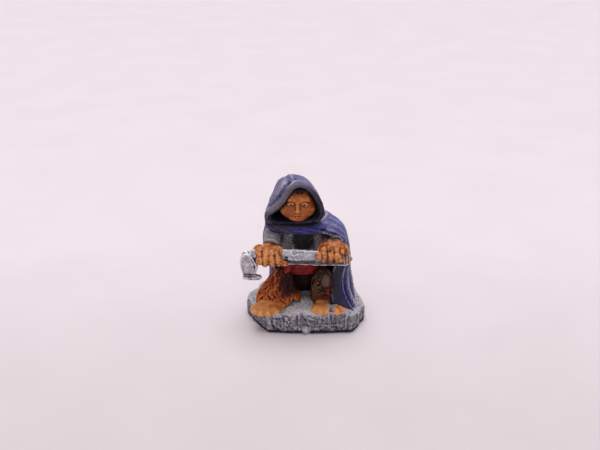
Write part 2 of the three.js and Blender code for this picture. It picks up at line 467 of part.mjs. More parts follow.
element("rock_base", s.rock_base, COLOUR.stone, miniature);
element("right_foot", s.right_foot, COLOUR.skin, figure);
element("left_foot", s.left_foot, COLOUR.skin, figure);
element("right_leg", s.right_leg, COLOUR.skin, figure);
element("left_leg", s.left_leg, COLOUR.brown, figure);
element("breeches", s.breeches, COLOUR.brown, figure);
element("waist_sash", s.waist_sash, COLOUR.red, figure);
element("mail_shirt", s.mail_shirt, COLOUR.mail, figure);
element("right_sleeve", s.right_sleeve, COLOUR.mail, figure);
element("left_sleeve", s.left_sleeve, COLOUR.mail, figure);
element("right_forearm", s.right_forearm, COLOUR.skin, figure);
element("left_forearm", s.left_forearm, COLOUR.skin, figure);
element("right_hand", s.right_hand, COLOUR.skin, figure);
element("left_hand", s.left_hand, COLOUR.skin, figure);
element("head", s.head, COLOUR.skin, figure);
element("forelock", s.forelock, COLOUR.hair, figure);
element("hood", s.hood, COLOUR.cloth, figure);
element("hood_rim", s.hood_rim, COLOUR.cloth_dark, figure);
element("cowl", s.cowl, COLOUR.cloth, figure);
element("cloak", s.cloak, COLOUR.cloth, figure);
element("axe_haft", s.axe_haft, COLOUR.haft, weapon);
element("axe_head", s.axe_head, COLOUR.steel, weapon);
element("haft_knob", s.haft_knob, COLOUR.steel, weapon);
element("haft_tip", s.haft_tip, COLOUR.steel, weapon);

// Puts the origin under the middle of the whole part.
const bounds = new THREE.Box3().setFromObject(miniature);
const middle = bounds.getCenter(new THREE.Vector3());
miniature.traverse((o) => {
  if (o.isMesh) o.position.sub(new THREE.Vector3(middle.x, middle.y, 0));
});

export default miniature;
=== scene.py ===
"""A painted white metal miniature: a hooded figure crouching on a slab of rock, an axe held level in both fists.

Every element is sculpted here as a dense mesh over its CAD solid: signed distance fields for the cast, rounded forms,
and a fine net for the cloak. The paint is procedural: base coat, dark wash in the recesses with painted shade from an
occlusion estimate, drybrush on the ridges, and spots of painted shade and painted highlight.
"""
import math

import bpy
import numpy as np
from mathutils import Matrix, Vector


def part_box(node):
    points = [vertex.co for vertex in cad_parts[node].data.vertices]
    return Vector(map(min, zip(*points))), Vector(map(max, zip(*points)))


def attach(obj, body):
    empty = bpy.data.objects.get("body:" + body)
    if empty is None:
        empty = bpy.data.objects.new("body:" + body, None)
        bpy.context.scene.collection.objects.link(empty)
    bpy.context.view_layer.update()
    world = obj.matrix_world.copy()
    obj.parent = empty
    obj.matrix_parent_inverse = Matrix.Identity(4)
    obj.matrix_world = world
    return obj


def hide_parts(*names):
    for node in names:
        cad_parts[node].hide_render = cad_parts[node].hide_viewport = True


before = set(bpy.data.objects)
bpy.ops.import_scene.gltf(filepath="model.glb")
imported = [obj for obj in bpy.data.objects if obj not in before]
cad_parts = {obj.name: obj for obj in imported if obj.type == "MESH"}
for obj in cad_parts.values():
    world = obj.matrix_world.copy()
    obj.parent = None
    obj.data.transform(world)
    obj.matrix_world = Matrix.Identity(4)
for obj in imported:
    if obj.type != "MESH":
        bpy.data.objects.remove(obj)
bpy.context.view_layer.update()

MM = 0.001

# The sculpt below is written in design millimetres, as the solids are. SHIFT takes them to the row's frame.
_lo, _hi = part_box("haft_knob")
_c = [(_lo[i] + _hi[i]) / 2 / MM for i in range(3)]
SHIFT = np.array([_c[0] - 6.0, _c[1] - -5.0, 0.0])

# ------------------------------------------------------------------------------------------------ noise
def _hash_lattice(seed, n=32):
    return np.random.RandomState(seed).rand(n, n, n).astype(np.float32)


_lat = {}


def vnoise(p, scale, seed=1):
    """Smooth value noise in 0..1 at points p, with features about scale mm across."""
    if seed not in _lat:
        _lat[seed] = _hash_lattice(seed)
    L = _lat[seed]
    n = L.shape[0]
    q = np.asarray(p, np.float32) / np.asarray(scale, np.float32)
    i = np.floor(q).astype(np.int32)
    f = q - i
    f = f * f * (3 - 2 * f)
    i0 = i % n
    i1 = (i + 1) % n
    fx, fy, fz = f[:, 0], f[:, 1], f[:, 2]
    x0, y0, z0 = i0[:, 0], i0[:, 1], i0[:, 2]
    x1, y1, z1 = i1[:, 0], i1[:, 1], i1[:, 2]
    c00 = L[x0, y0, z0] * (1 - fx) + L[x1, y0, z0] * fx
    c10 = L[x0, y1, z0] * (1 - fx) + L[x1, y1, z0] * fx
    c01 = L[x0, y0, z1] * (1 - fx) + L[x1, y0, z1] * fx
    c11 = L[x0, y1, z1] * (1 - fx) + L[x1, y1, z1] * fx
    return (c00 * (1 - fy) + c10 * fy) * (1 - fz) + (c01 * (1 - fy) + c11 * fy) * fz


def fbm(p, scale, seed=1, octaves=3):
    """Layered noise in about -1..1."""
    out, amp, tot, s = 0, 1.0, 0, np.asarray(scale, float)
    for k in range(octaves):
        out = out + amp * (vnoise(p, s, seed + k) * 2 - 1)
        tot += amp
        amp *= 0.5
        s = s * 0.5
    return out / tot


def worley(p, scale, seed=1):
    """Distances to the nearest and second nearest random cell point, in cells, and a random value of the nearest cell."""
    R = np.random.RandomState(seed).rand(24, 24, 24, 4).astype(np.float32)
    q = np.asarray(p, np.float32) / np.asarray(scale, np.float32)
    i = np.floor(q).astype(np.int32)
    f = q - i
    f1 = np.full(len(q), 9.0, np.float32)
    f2 = np.full(len(q), 9.0, np.float32)
    val = np.zeros(len(q), np.float32)
    for a in (-1, 0, 1):
        for b in (-1, 0, 1):
            for c in (-1, 0, 1):
                r = R[(i[:, 0] + a) % 24, (i[:, 1] + b) % 24, (i[:, 2] + c) % 24]
                d = np.sqrt((a + r[:, 0] - f[:, 0]) ** 2 + (b + r[:, 1] - f[:, 1]) ** 2 + (c + r[:, 2] - f[:, 2]) ** 2)
                near = d < f1
                f2 = np.where(near, f1, np.minimum(f2, d))
                val = np.where(near, r[:, 3], val)
                f1 = np.where(near, d, f1)
    return f1, f2, val


def sstep(a, b, x):
    t = np.clip((x - a) / (b - a), 0, 1)
    return t * t * (3 - 2 * t)


# ------------------------------------------------------------------------------------------------ fields
def smin(a, b, k):
    if k <= 0:
        return np.minimum(a, b)
    h = np.clip(0.5 + 0.5 * (b - a) / k, 0, 1)
    return b + (a - b) * h - k * h * (1 - h)


def smax(a, b, k):
    return -smin(-a, -b, k)


class Field:
    """A grid of signed distances over a box, in design millimetres. Negative is inside."""

    def __init__(self, lo, hi, h):
        self.lo = np.array(lo, float)
        self.h = h
        n = np.ceil((np.array(hi, float) - self.lo) / h).astype(int) + 1
        self.ax = [(self.lo[i] + h * np.arange(n[i])).astype(np.float32) for i in range(3)]
        self.f = np.full(n, 4.0, np.float32)

    def part(self, lo=None, hi=None):
        if lo is None:
            return (slice(None),) * 3
        out = []
        for i in range(3):
            a = int(max(0, np.floor((lo[i] - self.lo[i]) / self.h)))
            b = int(min(len(self.ax[i]), np.ceil((hi[i] - self.lo[i]) / self.h) + 1))
            out.append(slice(a, max(a, b)))
        return tuple(out)

    def xyz(self, sl=None):
        sl = sl or self.part()
        return self.ax[0][sl[0]][:, None, None], self.ax[1][sl[1]][None, :, None], self.ax[2][sl[2]][None, None, :]

    def put(self, fn, k=0.0, lo=None, hi=None, mode="add"):
        sl = self.part(lo, hi)
        if any(s.stop <= s.start for s in sl):
            return self
        d = fn(*self.xyz(sl))
        old = self.f[sl]
        self.f[sl] = smin(old, d, k) if mode == "add" else smax(old, -d, k)
        return self

    def ball(self, c, r, k=0.0, mode="add", turn=None):
        """An ellipsoid of centre c and radii r, turned about its centre by a 3 x 3 matrix."""
        r = [r] * 3 if np.isscalar(r) else r
        m = max(r) + k + 0.3
        R = np.eye(3) if turn is None else turn

        def fn(X, Y, Z):
            x, y, z = X - c[0], Y - c[1], Z - c[2]
            a = (R[0, 0] * x + R[0, 1] * y + R[0, 2] * z) / r[0]
            b = (R[1, 0] * x + R[1, 1] * y + R[1, 2] * z) / r[1]
            e = (R[2, 0] * x + R[2, 1] * y + R[2, 2] * z) / r[2]
            k0 = np.sqrt(a * a + b * b + e * e)
            k1 = np.sqrt((a / r[0]) ** 2 + (b / r[1]) ** 2 + (e / r[2]) ** 2) + 1e-6
            return (k0 * (k0 - 1) / k1).astype(np.float32)

        return self.put(fn, k, [v - m for v in c], [v + m for v in c], mode)

    def rod(self, a, b, ra, rb=None, k=0.0, mode="add", flat=None):
        """A round-ended rod from a to b, its radius running from ra to rb. flat=(axis, s) squeezes distances along that axis."""
        rb = ra if rb is None else rb
        a, b = np.array(a, float), np.array(b, float)
        m = max(ra, rb) * (flat[1] if flat else 1) + k + 0.3
        d = b - a
        L = float(d @ d) + 1e-9

        def fn(X, Y, Z):
            x, y, z = X - a[0], Y - a[1], Z - a[2]
            t = np.clip((x * d[0] + y * d[1] + z * d[2]) / L, 0, 1)
            qx, qy, qz = x - t * d[0], y - t * d[1], z - t * d[2]
            s = [1.0, 1.0, 1.0]
            if flat:
                s[flat[0]] = 1.0 / flat[1]
            return (np.sqrt((qx * s[0]) ** 2 + (qy * s[1]) ** 2 + (qz * s[2]) ** 2) - (ra + (rb - ra) * t)).astype(np.float32)

        return self.put(fn, k, np.minimum(a, b) - m, np.maximum(a, b) + m, mode)

    def chain(self, pts, radii, k=0.0, mode="add", flat=None):
        """Rods end to end through pts, joined to each other first and to the rest once, so no joint swells."""
        pts = [np.array(p, float) for p in pts]
        m = max(radii) * (flat[1] if flat else 1) + k + 0.3
        sl = self.part(np.min(pts, 0) - m, np.max(pts, 0) + m)
        if any(s.stop <= s.start for s in sl):
            return self
        sub = Field.__new__(Field)
        sub.h = self.h
        sub.lo = self.lo + self.h * np.array([s.start for s in sl])
        sub.ax = [self.ax[i][sl[i]] for i in range(3)]
        sub.f = np.full([len(a) for a in sub.ax], 4.0, np.float32)
        for i in range(len(pts) - 1):
            sub.rod(pts[i], pts[i + 1], radii[i], radii[i + 1], 0, "add", flat)
        old = self.f[sl]
        self.f[sl] = smin(old, sub.f, k) if mode == "add" else smax(old, -sub.f, k)
        return self

    def under(self, fn, k=0.0):
        """Keeps what is inside fn as well."""
        self.f = smax(self.f, fn(*self.xyz()), k)
        return self

    def mesh(self):
        return nets(self.f, self.lo, self.h)


def nets(f, lo, h):
    """Naive surface nets: one vertex in each cell that the surface crosses."""
    s = f < 0
    n = np.array(f.shape)
    cnt = np.zeros(n - 1, np.int8)
    for a in (0, 1):
        for b in (0, 1):
            for c in (0, 1):
                cnt += s[a : n[0] - 1 + a, b : n[1] - 1 + b, c : n[2] - 1 + c]
    active = (cnt > 0) & (cnt < 8)
    I, J, K = np.nonzero(active)
    cid = np.full(active.shape, -1, np.int32)
    cid[I, J, K] = np.arange(len(I))
    acc = np.zeros((len(I), 3))
    num = np.zeros(len(I))
    corners = [(a, b, c) for a in (0, 1) for b in (0, 1) for c in (0, 1)]
    for p in corners:
        for ax in range(3):
            if p[ax]:
                continue
            q = list(p)
            q[ax] = 1
            fa = f[I + p[0], J + p[1], K + p[2]]
            fb = f[I + q[0], J + q[1], K + q[2]]
            m = (fa < 0) != (fb < 0)
            t = fa[m] / (fa[m] - fb[m])
            pt = np.tile(np.array(p, float), (m.sum(), 1))
            pt[:, ax] = t
            acc[m] += pt
            num[m] += 1
    v = np.array(lo) + h * (np.stack([I, J, K], 1) + acc / num[:, None])
    quads = []
    for ax in range(3):
        o1, o2 = (ax + 1) % 3, (ax + 2) % 3
        a = [slice(None)] * 3
        b = [slice(None)] * 3
        a[ax], b[ax] = slice(0, -1), slice(1, None)
        for o in (o1, o2):
            a[o] = b[o] = slice(1, -1)
        A, B = s[tuple(a)], s[tuple(b)]
        e = np.array(np.nonzero(A != B))
        inside = A[e[0], e[1], e[2]]
        e[o1] += 1
        e[o2] += 1

        def cell(d1, d2):
            g = e.copy()
            g[o1] += d1
            g[o2] += d2
            return cid[g[0], g[1], g[2]]

        q = np.stack([cell(-1, -1), cell(0, -1), cell(0, 0), cell(-1, 0)], 1)
        q[~inside] = q[~inside][:, ::-1]
        quads.append(q)
    return v, np.concatenate(quads)


# ------------------------------------------------------------------------------------------------ mesh work
def edges_of(q):
    e = np.concatenate([q[:, [0, 1]], q[:, [1, 2]], q[:, [2, 3]], q[:, [3, 0]]])
    e.sort(1)
    return np.unique(e, axis=0)


def mean_of_neighbours(v, e, w=None):
    n = len(v)
    deg = np.bincount(e[:, 0], minlength=n) + np.bincount(e[:, 1], minlength=n)
    out = np.empty_like(v, dtype=float)
    vv = v.reshape(n, -1)
    oo = out.reshape(n, -1)
    for c in range(vv.shape[1]):
        oo[:, c] = (np.bincount(e[:, 0], vv[e[:, 1], c], n) + np.bincount(e[:, 1], vv[e[:, 0], c], n)) / np.maximum(deg, 1)
    return out


def smooth(v, e, times, lam=0.5):
    for _ in range(times):
        v = v + lam * (mean_of_neighbours(v, e) - v)
    return v


def normals(v, q):
    n = np.cross(v[q[:, 2]] - v[q[:, 0]], v[q[:, 3]] - v[q[:, 1]])
    out = np.zeros_like(v)
    for c in range(3):
        for k in range(4):
            out[:, c] += np.bincount(q[:, k], n[:, c], len(v))
    return out / (np.linalg.norm(out, axis=1, keepdims=True) + 1e-12)


OCC_LO, OCC_H = np.array([-10.0, -9.0, -1.0]), 0.14
OCC = np.zeros(np.ceil(np.array([20.5, 18.0, 22.5]) / OCC_H).astype(int), np.float32)


def occupy(p):
    i = np.floor((p - OCC_LO) / OCC_H).astype(int)
    i = i[((i >= 0) & (i < OCC.shape)).all(1)]
    OCC[i[:, 0], i[:, 1], i[:, 2]] = 1


PIECES = []


def piece(name, node, slot, v, q, paint=None, taubin=1, extra=None, mat=None):
    """Keeps a sculpted mesh, in design millimetres, until the paint's masks are worked out."""
    e = edges_of(q)
    for _ in range(taubin):
        v = smooth(v, e, 1, 0.55)
        v = smooth(v, e, 1, -0.57)
    if paint is not None:
        n = normals(v, q)
        v = paint(v, n)
    PIECES.append(dict(name=name, node=node, slot=slot, v=v, q=q, e=e, extra=extra or {}, mat=mat or slot))


def field_piece(name, node, slot, F, paint=None, taubin=1, extra=None, mat=None):
    v, q = F.mesh()
    # keeps only the largest body, so that no crumb floats free
    lab = components(len(v), q)
    keep = np.bincount(lab).argmax()
    if (lab != keep).any():
        ok = lab == keep
        remap = np.cumsum(ok) - 1
        q = remap[q[ok[q[:, 0]]]]
        v = v[ok]
    inside = np.array(np.nonzero(F.f[::2, ::2, ::2] < 0)).T * (2 * F.h) + F.lo
    occupy(inside)
    piece(name, node, slot, v, q, paint, taubin, extra, mat)


def components(n, q):
    e = edges_of(q)
    lab = np.arange(n)
    while True:
        a, b = lab[e[:, 0]], lab[e[:, 1]]
        m = np.minimum(a, b)
        new = lab.copy()
        np.minimum.at(new, e[:, 0], m)
        np.minimum.at(new, e[:, 1], m)
        new = new[new]
        new = new[new]
        if (new == lab).all():
            return np.unique(lab, return_inverse=True)[1]
        lab = new


def blur(a, r):
    """A box blur of half width r cells on each axis, twice."""
    for _ in range(2):
        for ax in range(3):
            p = [(0, 0)] * 3
            p[ax] = (r + 1, r)
            c = np.cumsum(np.pad(a, p), axis=ax)
            n = a.shape[ax]
            hi = np.take(c, np.arange(2 * r + 1, 2 * r + 1 + n), axis=ax)
            lo = np.take(c, np.arange(0, n), axis=ax)
            a = ((hi - lo) / (2 * r + 1)).astype(np.float32)
    return a


def sample(vol, p):
    q = (p - OCC_LO) / OCC_H - 0.5
    i = np.floor(q).astype(int)
    f = q - i
    i = np.clip(i, 0, np.array(vol.shape) - 2)
    out = 0
    for a in (0, 1):
        for b in (0, 1):
            for c in (0, 1):
                w = (f[:, 0] if a else 1 - f[:, 0]) * (f[:, 1] if b else 1 - f[:, 1]) * (f[:, 2] if c else 1 - f[:, 2])
                out = out + w * vol[i[:, 0] + a, i[:, 1] + b, i[:, 2] + c]
    return out

# ------------------------------------------------------------------------------------------------ slab of rock
PLAN = np.array([
    [-4.5, -6.45], [-2.4, -6.7], [0.4, -6.85], [3.4, -6.7], [6.5, -6.4], [7.25, -5.2], [7.45, -4.2], [8.3, -2.9], [8.2, -1.2],
    [7.6, 1.6], [7.1, 3.6], [5.7, 5.6], [2.6, 6.5], [-1.6, 6.5], [-4.4, 5.7], [-5.6, 4.2], [-6.3, 2.3], [-7.4, 0.8],
    [-7.5, -0.9], [-6.9, -2.4], [-5.6, -5.0]])


def poly_sdf(x, y, poly):
    """Signed distance from points to a closed polygon, negative inside."""
    x, y = np.broadcast_arrays(x, y)
    best = np.full(x.shape, 1e9)
    inside = np.zeros(x.shape, bool)
    for i in range(len(poly)):
        a, b = poly[i], poly[(i + 1) % len(poly)]
        e = b - a
        t = np.clip(((x - a[0]) * e[0] + (y - a[1]) * e[1]) / (e @ e + 1e-12), 0, 1)
        best = np.minimum(best, (x - a[0] - t * e[0]) ** 2 + (y - a[1] - t * e[1]) ** 2)
        cross = (a[1] > y) != (b[1] > y)
        with np.errstate(divide="ignore", invalid="ignore"):
            xi = a[0] + (y - a[1]) * e[0] / (e[1] if e[1] else 1e-12)
        inside ^= cross & (x < xi)
    return np.where(inside, -1, 1) * np.sqrt(best)


def ease(t):
    t = np.clip(t, 0, 1)
    return t * t * (3 - 2 * t)


def rock_top(x, y):
    return (2.72 + 0.2 * np.exp(-(((x - 0.2) / 1.7) ** 2)) + 0.06 * np.sin(1.3 * x + 0.6) * np.cos(0.9 * y)
            - 0.42 * ease((-x - 2.4) / 2.2) - 0.6 * ease((x - 5.1) / 2.6))


def tri(t):
    """A triangle wave of period 1 between -1 and 1."""
    return 4 * np.abs((t % 1) - 0.5) - 1


def make_rock():
    F = Field([-8.0, -7.7, -0.17], [8.8, 7.1, 3.5], 0.08)
    X, Y, Z = F.xyz()
    side = poly_sdf(X[:, :, 0], Y[:, :, 0], PLAN)[:, :, None]
    g = np.stack(np.meshgrid(F.ax[0], F.ax[1], indexing="ij"), -1).reshape(-1, 2)
    g3 = np.c_[g, np.zeros(len(g))]
    shape = (len(F.ax[0]), len(F.ax[1]))
    xx, yy = g[:, 0].reshape(shape), g[:, 1].reshape(shape)
    bump = 0.13 * fbm(g3, 2.1, 5, 2).reshape(shape) + 0.05 * fbm(g3, 0.8, 8, 2).reshape(shape)
    # zigzag ledges that step down to the front edge between the feet
    t = (yy + 0.16 * tri(xx / 0.62 + 0.2 * np.sin(yy * 2)) + 0.12 * fbm(g3, 1.2, 9, 2).reshape(shape)) / 0.62
    ledge = 0.34 * (t % 1) ** 1.6 * np.exp(-(np.abs(xx - 0.15) / 1.7) ** 3) * sstep(-6.5, -5.9, yy) * sstep(-1.6, -2.6, yy)
    wave = (0.07 * np.sin(xx * 1.9 + 1.0) + 0.06 * tri(xx / 1.1)) * sstep(-5.2, -6.4, yy) + 0.1 * sstep(-5.6, -6.5, yy)
    top = (rock_top(xx, yy) + 0.05 + bump + ledge + wave)[:, :, None]
    inset = 0.14 * sstep(0.45, 0.0, Z) + 0.1 * sstep(0.4, 0.0, top - Z)
    F.f = smax((side + inset).astype(np.float32), (Z - top).astype(np.float32), 0.16)
    F.ball([0.45, -6.92, 0.5], [0.4, 0.4, 0.55], 0.1)
    F.rod([0.45, -6.55, 1.1], [0.4, -6.5, 2.2], 0.16, 0.1, 0.2)
    F.f = np.maximum(F.f, (0.0 - Z) + 0 * F.f)

    def detail(v, n):
        flank = sstep(0.75, 0.35, np.abs(n[:, 2])) * sstep(0.0, 0.25, v[:, 2])
        up = sstep(0.3, 0.8, n[:, 2])
        p = v + 0.3 * np.c_[fbm(v, 1.0, 31, 2), fbm(v, 1.0, 41, 2), fbm(v, 1.0, 51, 2)]
        lean = p + np.c_[0.22 * (v[:, 2] - 1.2) * np.sin(v[:, 0] * 1.7 + 1), 0 * v[:, 0], 0 * v[:, 0]]
        a1, a2, av = worley(lean * [1, 1, 0.14] + [0.3, 0.1, 0.4], 1.3, 3)       # tall split blocks
        b1, b2, bv = worley(lean * [1, 1, 0.3], 0.55, 4)
        c1, c2, cv = worley(p * [0.55, 0.55, 1.5], 0.5, 14)                    # short level chips
        d = flank * (0.17 * (av - 0.5) - 0.09 * sstep(0.07, 0.0, a2 - a1) + 0.1 * (bv - 0.5) - 0.04 * sstep(0.1, 0.0, b2 - b1) + 0.08 * (cv - 0.5) - 0.04 * sstep(0.08, 0.0, c2 - c1))
        e1, e2, ev = worley(p, 1.1, 6)
        f1, f2, fv = worley(p, 0.5, 7)
        d += up * (0.06 * (ev - 0.5) - 0.05 * sstep(0.08, 0.0, e2 - e1) + 0.03 * (fv - 0.5))
        d += 0.035 * fbm(v, 0.3, 21, 2)
        out = v + n * d[:, None]
        out[:, 2] = np.maximum(out[:, 2], 0)
        out[v[:, 2] < 0.03, 2] = 0
        return out

    # m2 paints a dark band round the slab's bottom edge: painted contact shadow
    foot = lambda p: sstep(0.72, 0.38, p["v"][:, 2] + 0.12 * fbm(p["v"], 0.6, 25, 2)) * sstep(0.95, 0.5, np.abs(p["n"][:, 2]))
    # m3 paints the upward faces lighter, a painted highlight from overhead light; m1 paints the rock between the feet
    # and the nub at the front lighter again after the wash, a painted highlight where the figure's shade would fall
    field_piece("rock_base_sculpt", "rock_base", "stone", F, detail, 1, {"m2": foot, "m3": lambda p: sstep(0.3, 0.75, p["n"][:, 2]),
                "m1": lambda p: np.clip(sstep(-2.6, -1.9, p["v"][:, 0]) * sstep(2.0, 1.4, p["v"][:, 0]) * sstep(-2.4, -3.4, p["v"][:, 1]) * sstep(0.1, 0.6, p["n"][:, 2])
                                        + 0.9 * sstep(0.6, 0.4, np.hypot(p["v"][:, 0] - 0.45, p["v"][:, 1] + 6.95)) * sstep(1.2, 0.9, p["v"][:, 2]), 0, 1)})


# ------------------------------------------------------------------------------------------------ feet and legs
def make_foot(side):
    rs = np.random.RandomState(11 if side == "right" else 12)
    if side == "right":
        F = Field([-7.4, -7.4, 1.9], [-0.8, -1.0, 5.2], 0.058)
        F.ball([-3.4, -2.6, 3.6], [1.5, 1.2, 1.1], 0.5)
        F.ball([-3.9, -3.9, 3.1], [1.9, 1.4, 0.85], 0.5)
        F.ball([-4.5, -4.75, 2.85], [2.1, 1.25, 0.55], 0.4)
        F.ball([-4.5, -5.45, 2.62], [2.0, 0.78, 0.5], 0.35)
        ends = [(-6.45, -4.9), (-6.1, -5.55), (-5.35, -6.02), (-4.45, -6.2), (-3.4, -6.0)]
        mid, z0, big = (-4.7, -4.6), 2.62, 4
        curls = [(-4.4, -3.7), (-3.6, -3.5), (-5.2, -3.9), (-3.0, -3.9), (-4.9, -4.5), (-3.4, -4.4), (-2.5, -4.2), (-4.1, -4.5)]
        lift = lambda x, y: 3.85 - 0.16 * ((x + 4.0) ** 2) - 0.42 * max(0, -3.5 - y)
    else:
        F = Field([0.5, -7.4, 2.2], [6.3, -1.0, 5.4], 0.058)
        F.ball([2.6, -2.4, 3.8], [1.15, 1.1, 1.05], 0.4)
        F.ball([2.5, -3.8, 3.4], [1.2, 1.3, 0.8], 0.4)
        F.ball([2.45, -5.1, 3.08], [1.3, 1.1, 0.46], 0.35)
        F.ball([4.1, -5.2, 2.88], [1.35, 0.75, 0.36], 0.35)
        F.ball([2.2, -5.85, 2.95], [0.95, 0.6, 0.42], 0.3)
        F.ball([4.7, -5.75, 2.8], [0.75, 0.5, 0.36], 0.3)
        ends = [(1.62, -5.95), (2.35, -6.25), (3.05, -6.25), (4.45, -6.2), (5.15, -5.8)]
        mid, z0, big = (3.4, -4.7), 2.96, 0
        curls = [(2.6, -3.8), (2.9, -3.6), (2.0, -4.2), (2.6, -4.5)]
        lift = lambda x, y: 4.1 - 0.2 * ((x - 3.0) ** 2) - 0.42 * max(0, -3.5 - y)
    for i, (x, y) in enumerate(ends):
        r = 0.5 if i == big else 0.43
        z = z0 - (0.12 * max(0, i - 2) if side == "left" else 0.0)
        ax, ay = mid[0] + (x - mid[0]) * 0.6, mid[1] + (y - mid[1]) * 0.45
        kx, ky = (ax + x) / 2, (ay + y) / 2
        F.chain([(ax, ay, z + 0.16), (kx, ky, z + 0.1), (x, y, z)], [0.42, r * 1.02, r * 0.98], 0.42)
        dx, dy = x - kx, y - ky
        L = math.hypot(dx, dy)
        F.ball([x + dx / L * r * 0.6, y + dy / L * r * 0.6, z + r * 0.45], [r * 0.36, r * 0.36, r * 0.18], 0.08)
    for x, y in curls:
        a = rs.uniform(0, 6.28)
        z = lift(x, y) - 0.1
        pts = [(x + 0.16 * t * math.cos(a + 1.5 * t), y - 0.26 * t + 0.1 * math.sin(a + 1.7 * t), z + 0.1 * math.sin(t) - 0.1 * t) for t in (0, 1, 2, 3)]
        F.chain(pts, [0.17, 0.18, 0.14, 0.07], 0.14)

    def detail(v, n):
        return v + n * (0.05 * fbm(v, 0.7, 71, 3) + 0.02 * fbm(v, 0.25, 74, 2))[:, None]

    extra = {}
    if side == "left":
        ankle = lambda p: 0.95 * sstep(-5.0, -4.6, p["v"][:, 1] + 0.22 * fbm(p["v"], 0.5, 78, 2)) * sstep(3.2, 3.45, p["v"][:, 2])
        extra["m2"] = ankle
        extra["m3"] = lambda p: np.clip(0.5 * extra["m1"](p) + ankle(p), 0, 1)
        extra["m1"] = lambda p: sstep(0.62, 0.42, np.hypot((p["v"][:, 0] - 3.72) / 1.0, (p["v"][:, 1] + 5.35) / 2.2) + 0.22 * fbm(p["v"], 0.5, 75, 2))
    field_piece(f"{side}_foot_sculpt", f"{side}_foot", "skin", F, detail, 1, extra, mat="foot")


def fur(F, rs, axis, target, zlo, zhi, count, squash=0.72, arc=(-3.5, 0.4), length=1.5, thick=(0.17, 0.26), k=0.08, sway=(0.2, 0.42)):
    """Shaggy, wavy locks down a shin. axis(z) gives its centre, target(z) the half width that the locks' tips reach."""
    for i in range(count):
        z = zhi - (zhi - zlo) * ((i + rs.rand()) / count)
        a = rs.uniform(*arc)
        L = length * rs.uniform(0.85, 1.2)
        turn = rs.choice([-1, 1]) * rs.uniform(*sway)
        pts, rr = [], []
        r = rs.uniform(*thick)
        lift = rs.uniform(-0.05, 0.2)
        for t in (0, 0.22, 0.45, 0.7, 0.9, 1.0):
            zz = z - L * t
            c = axis(zz)
            R = target(zz) * (0.84 + 0.14 * t) + lift * math.sin(math.pi * t)
            w = a + turn * math.sin(2 * math.pi * (t * 1.1 + 0.1)) / max(R, 0.8)
            pts.append((c[0] + R * math.cos(w), c[1] + R * math.sin(w) * squash, zz))
            rr.append(r * (0.8, 1.0, 1.0, 0.92, 0.72, 0.45)[len(rr)])
        F.chain(pts, rr, k)


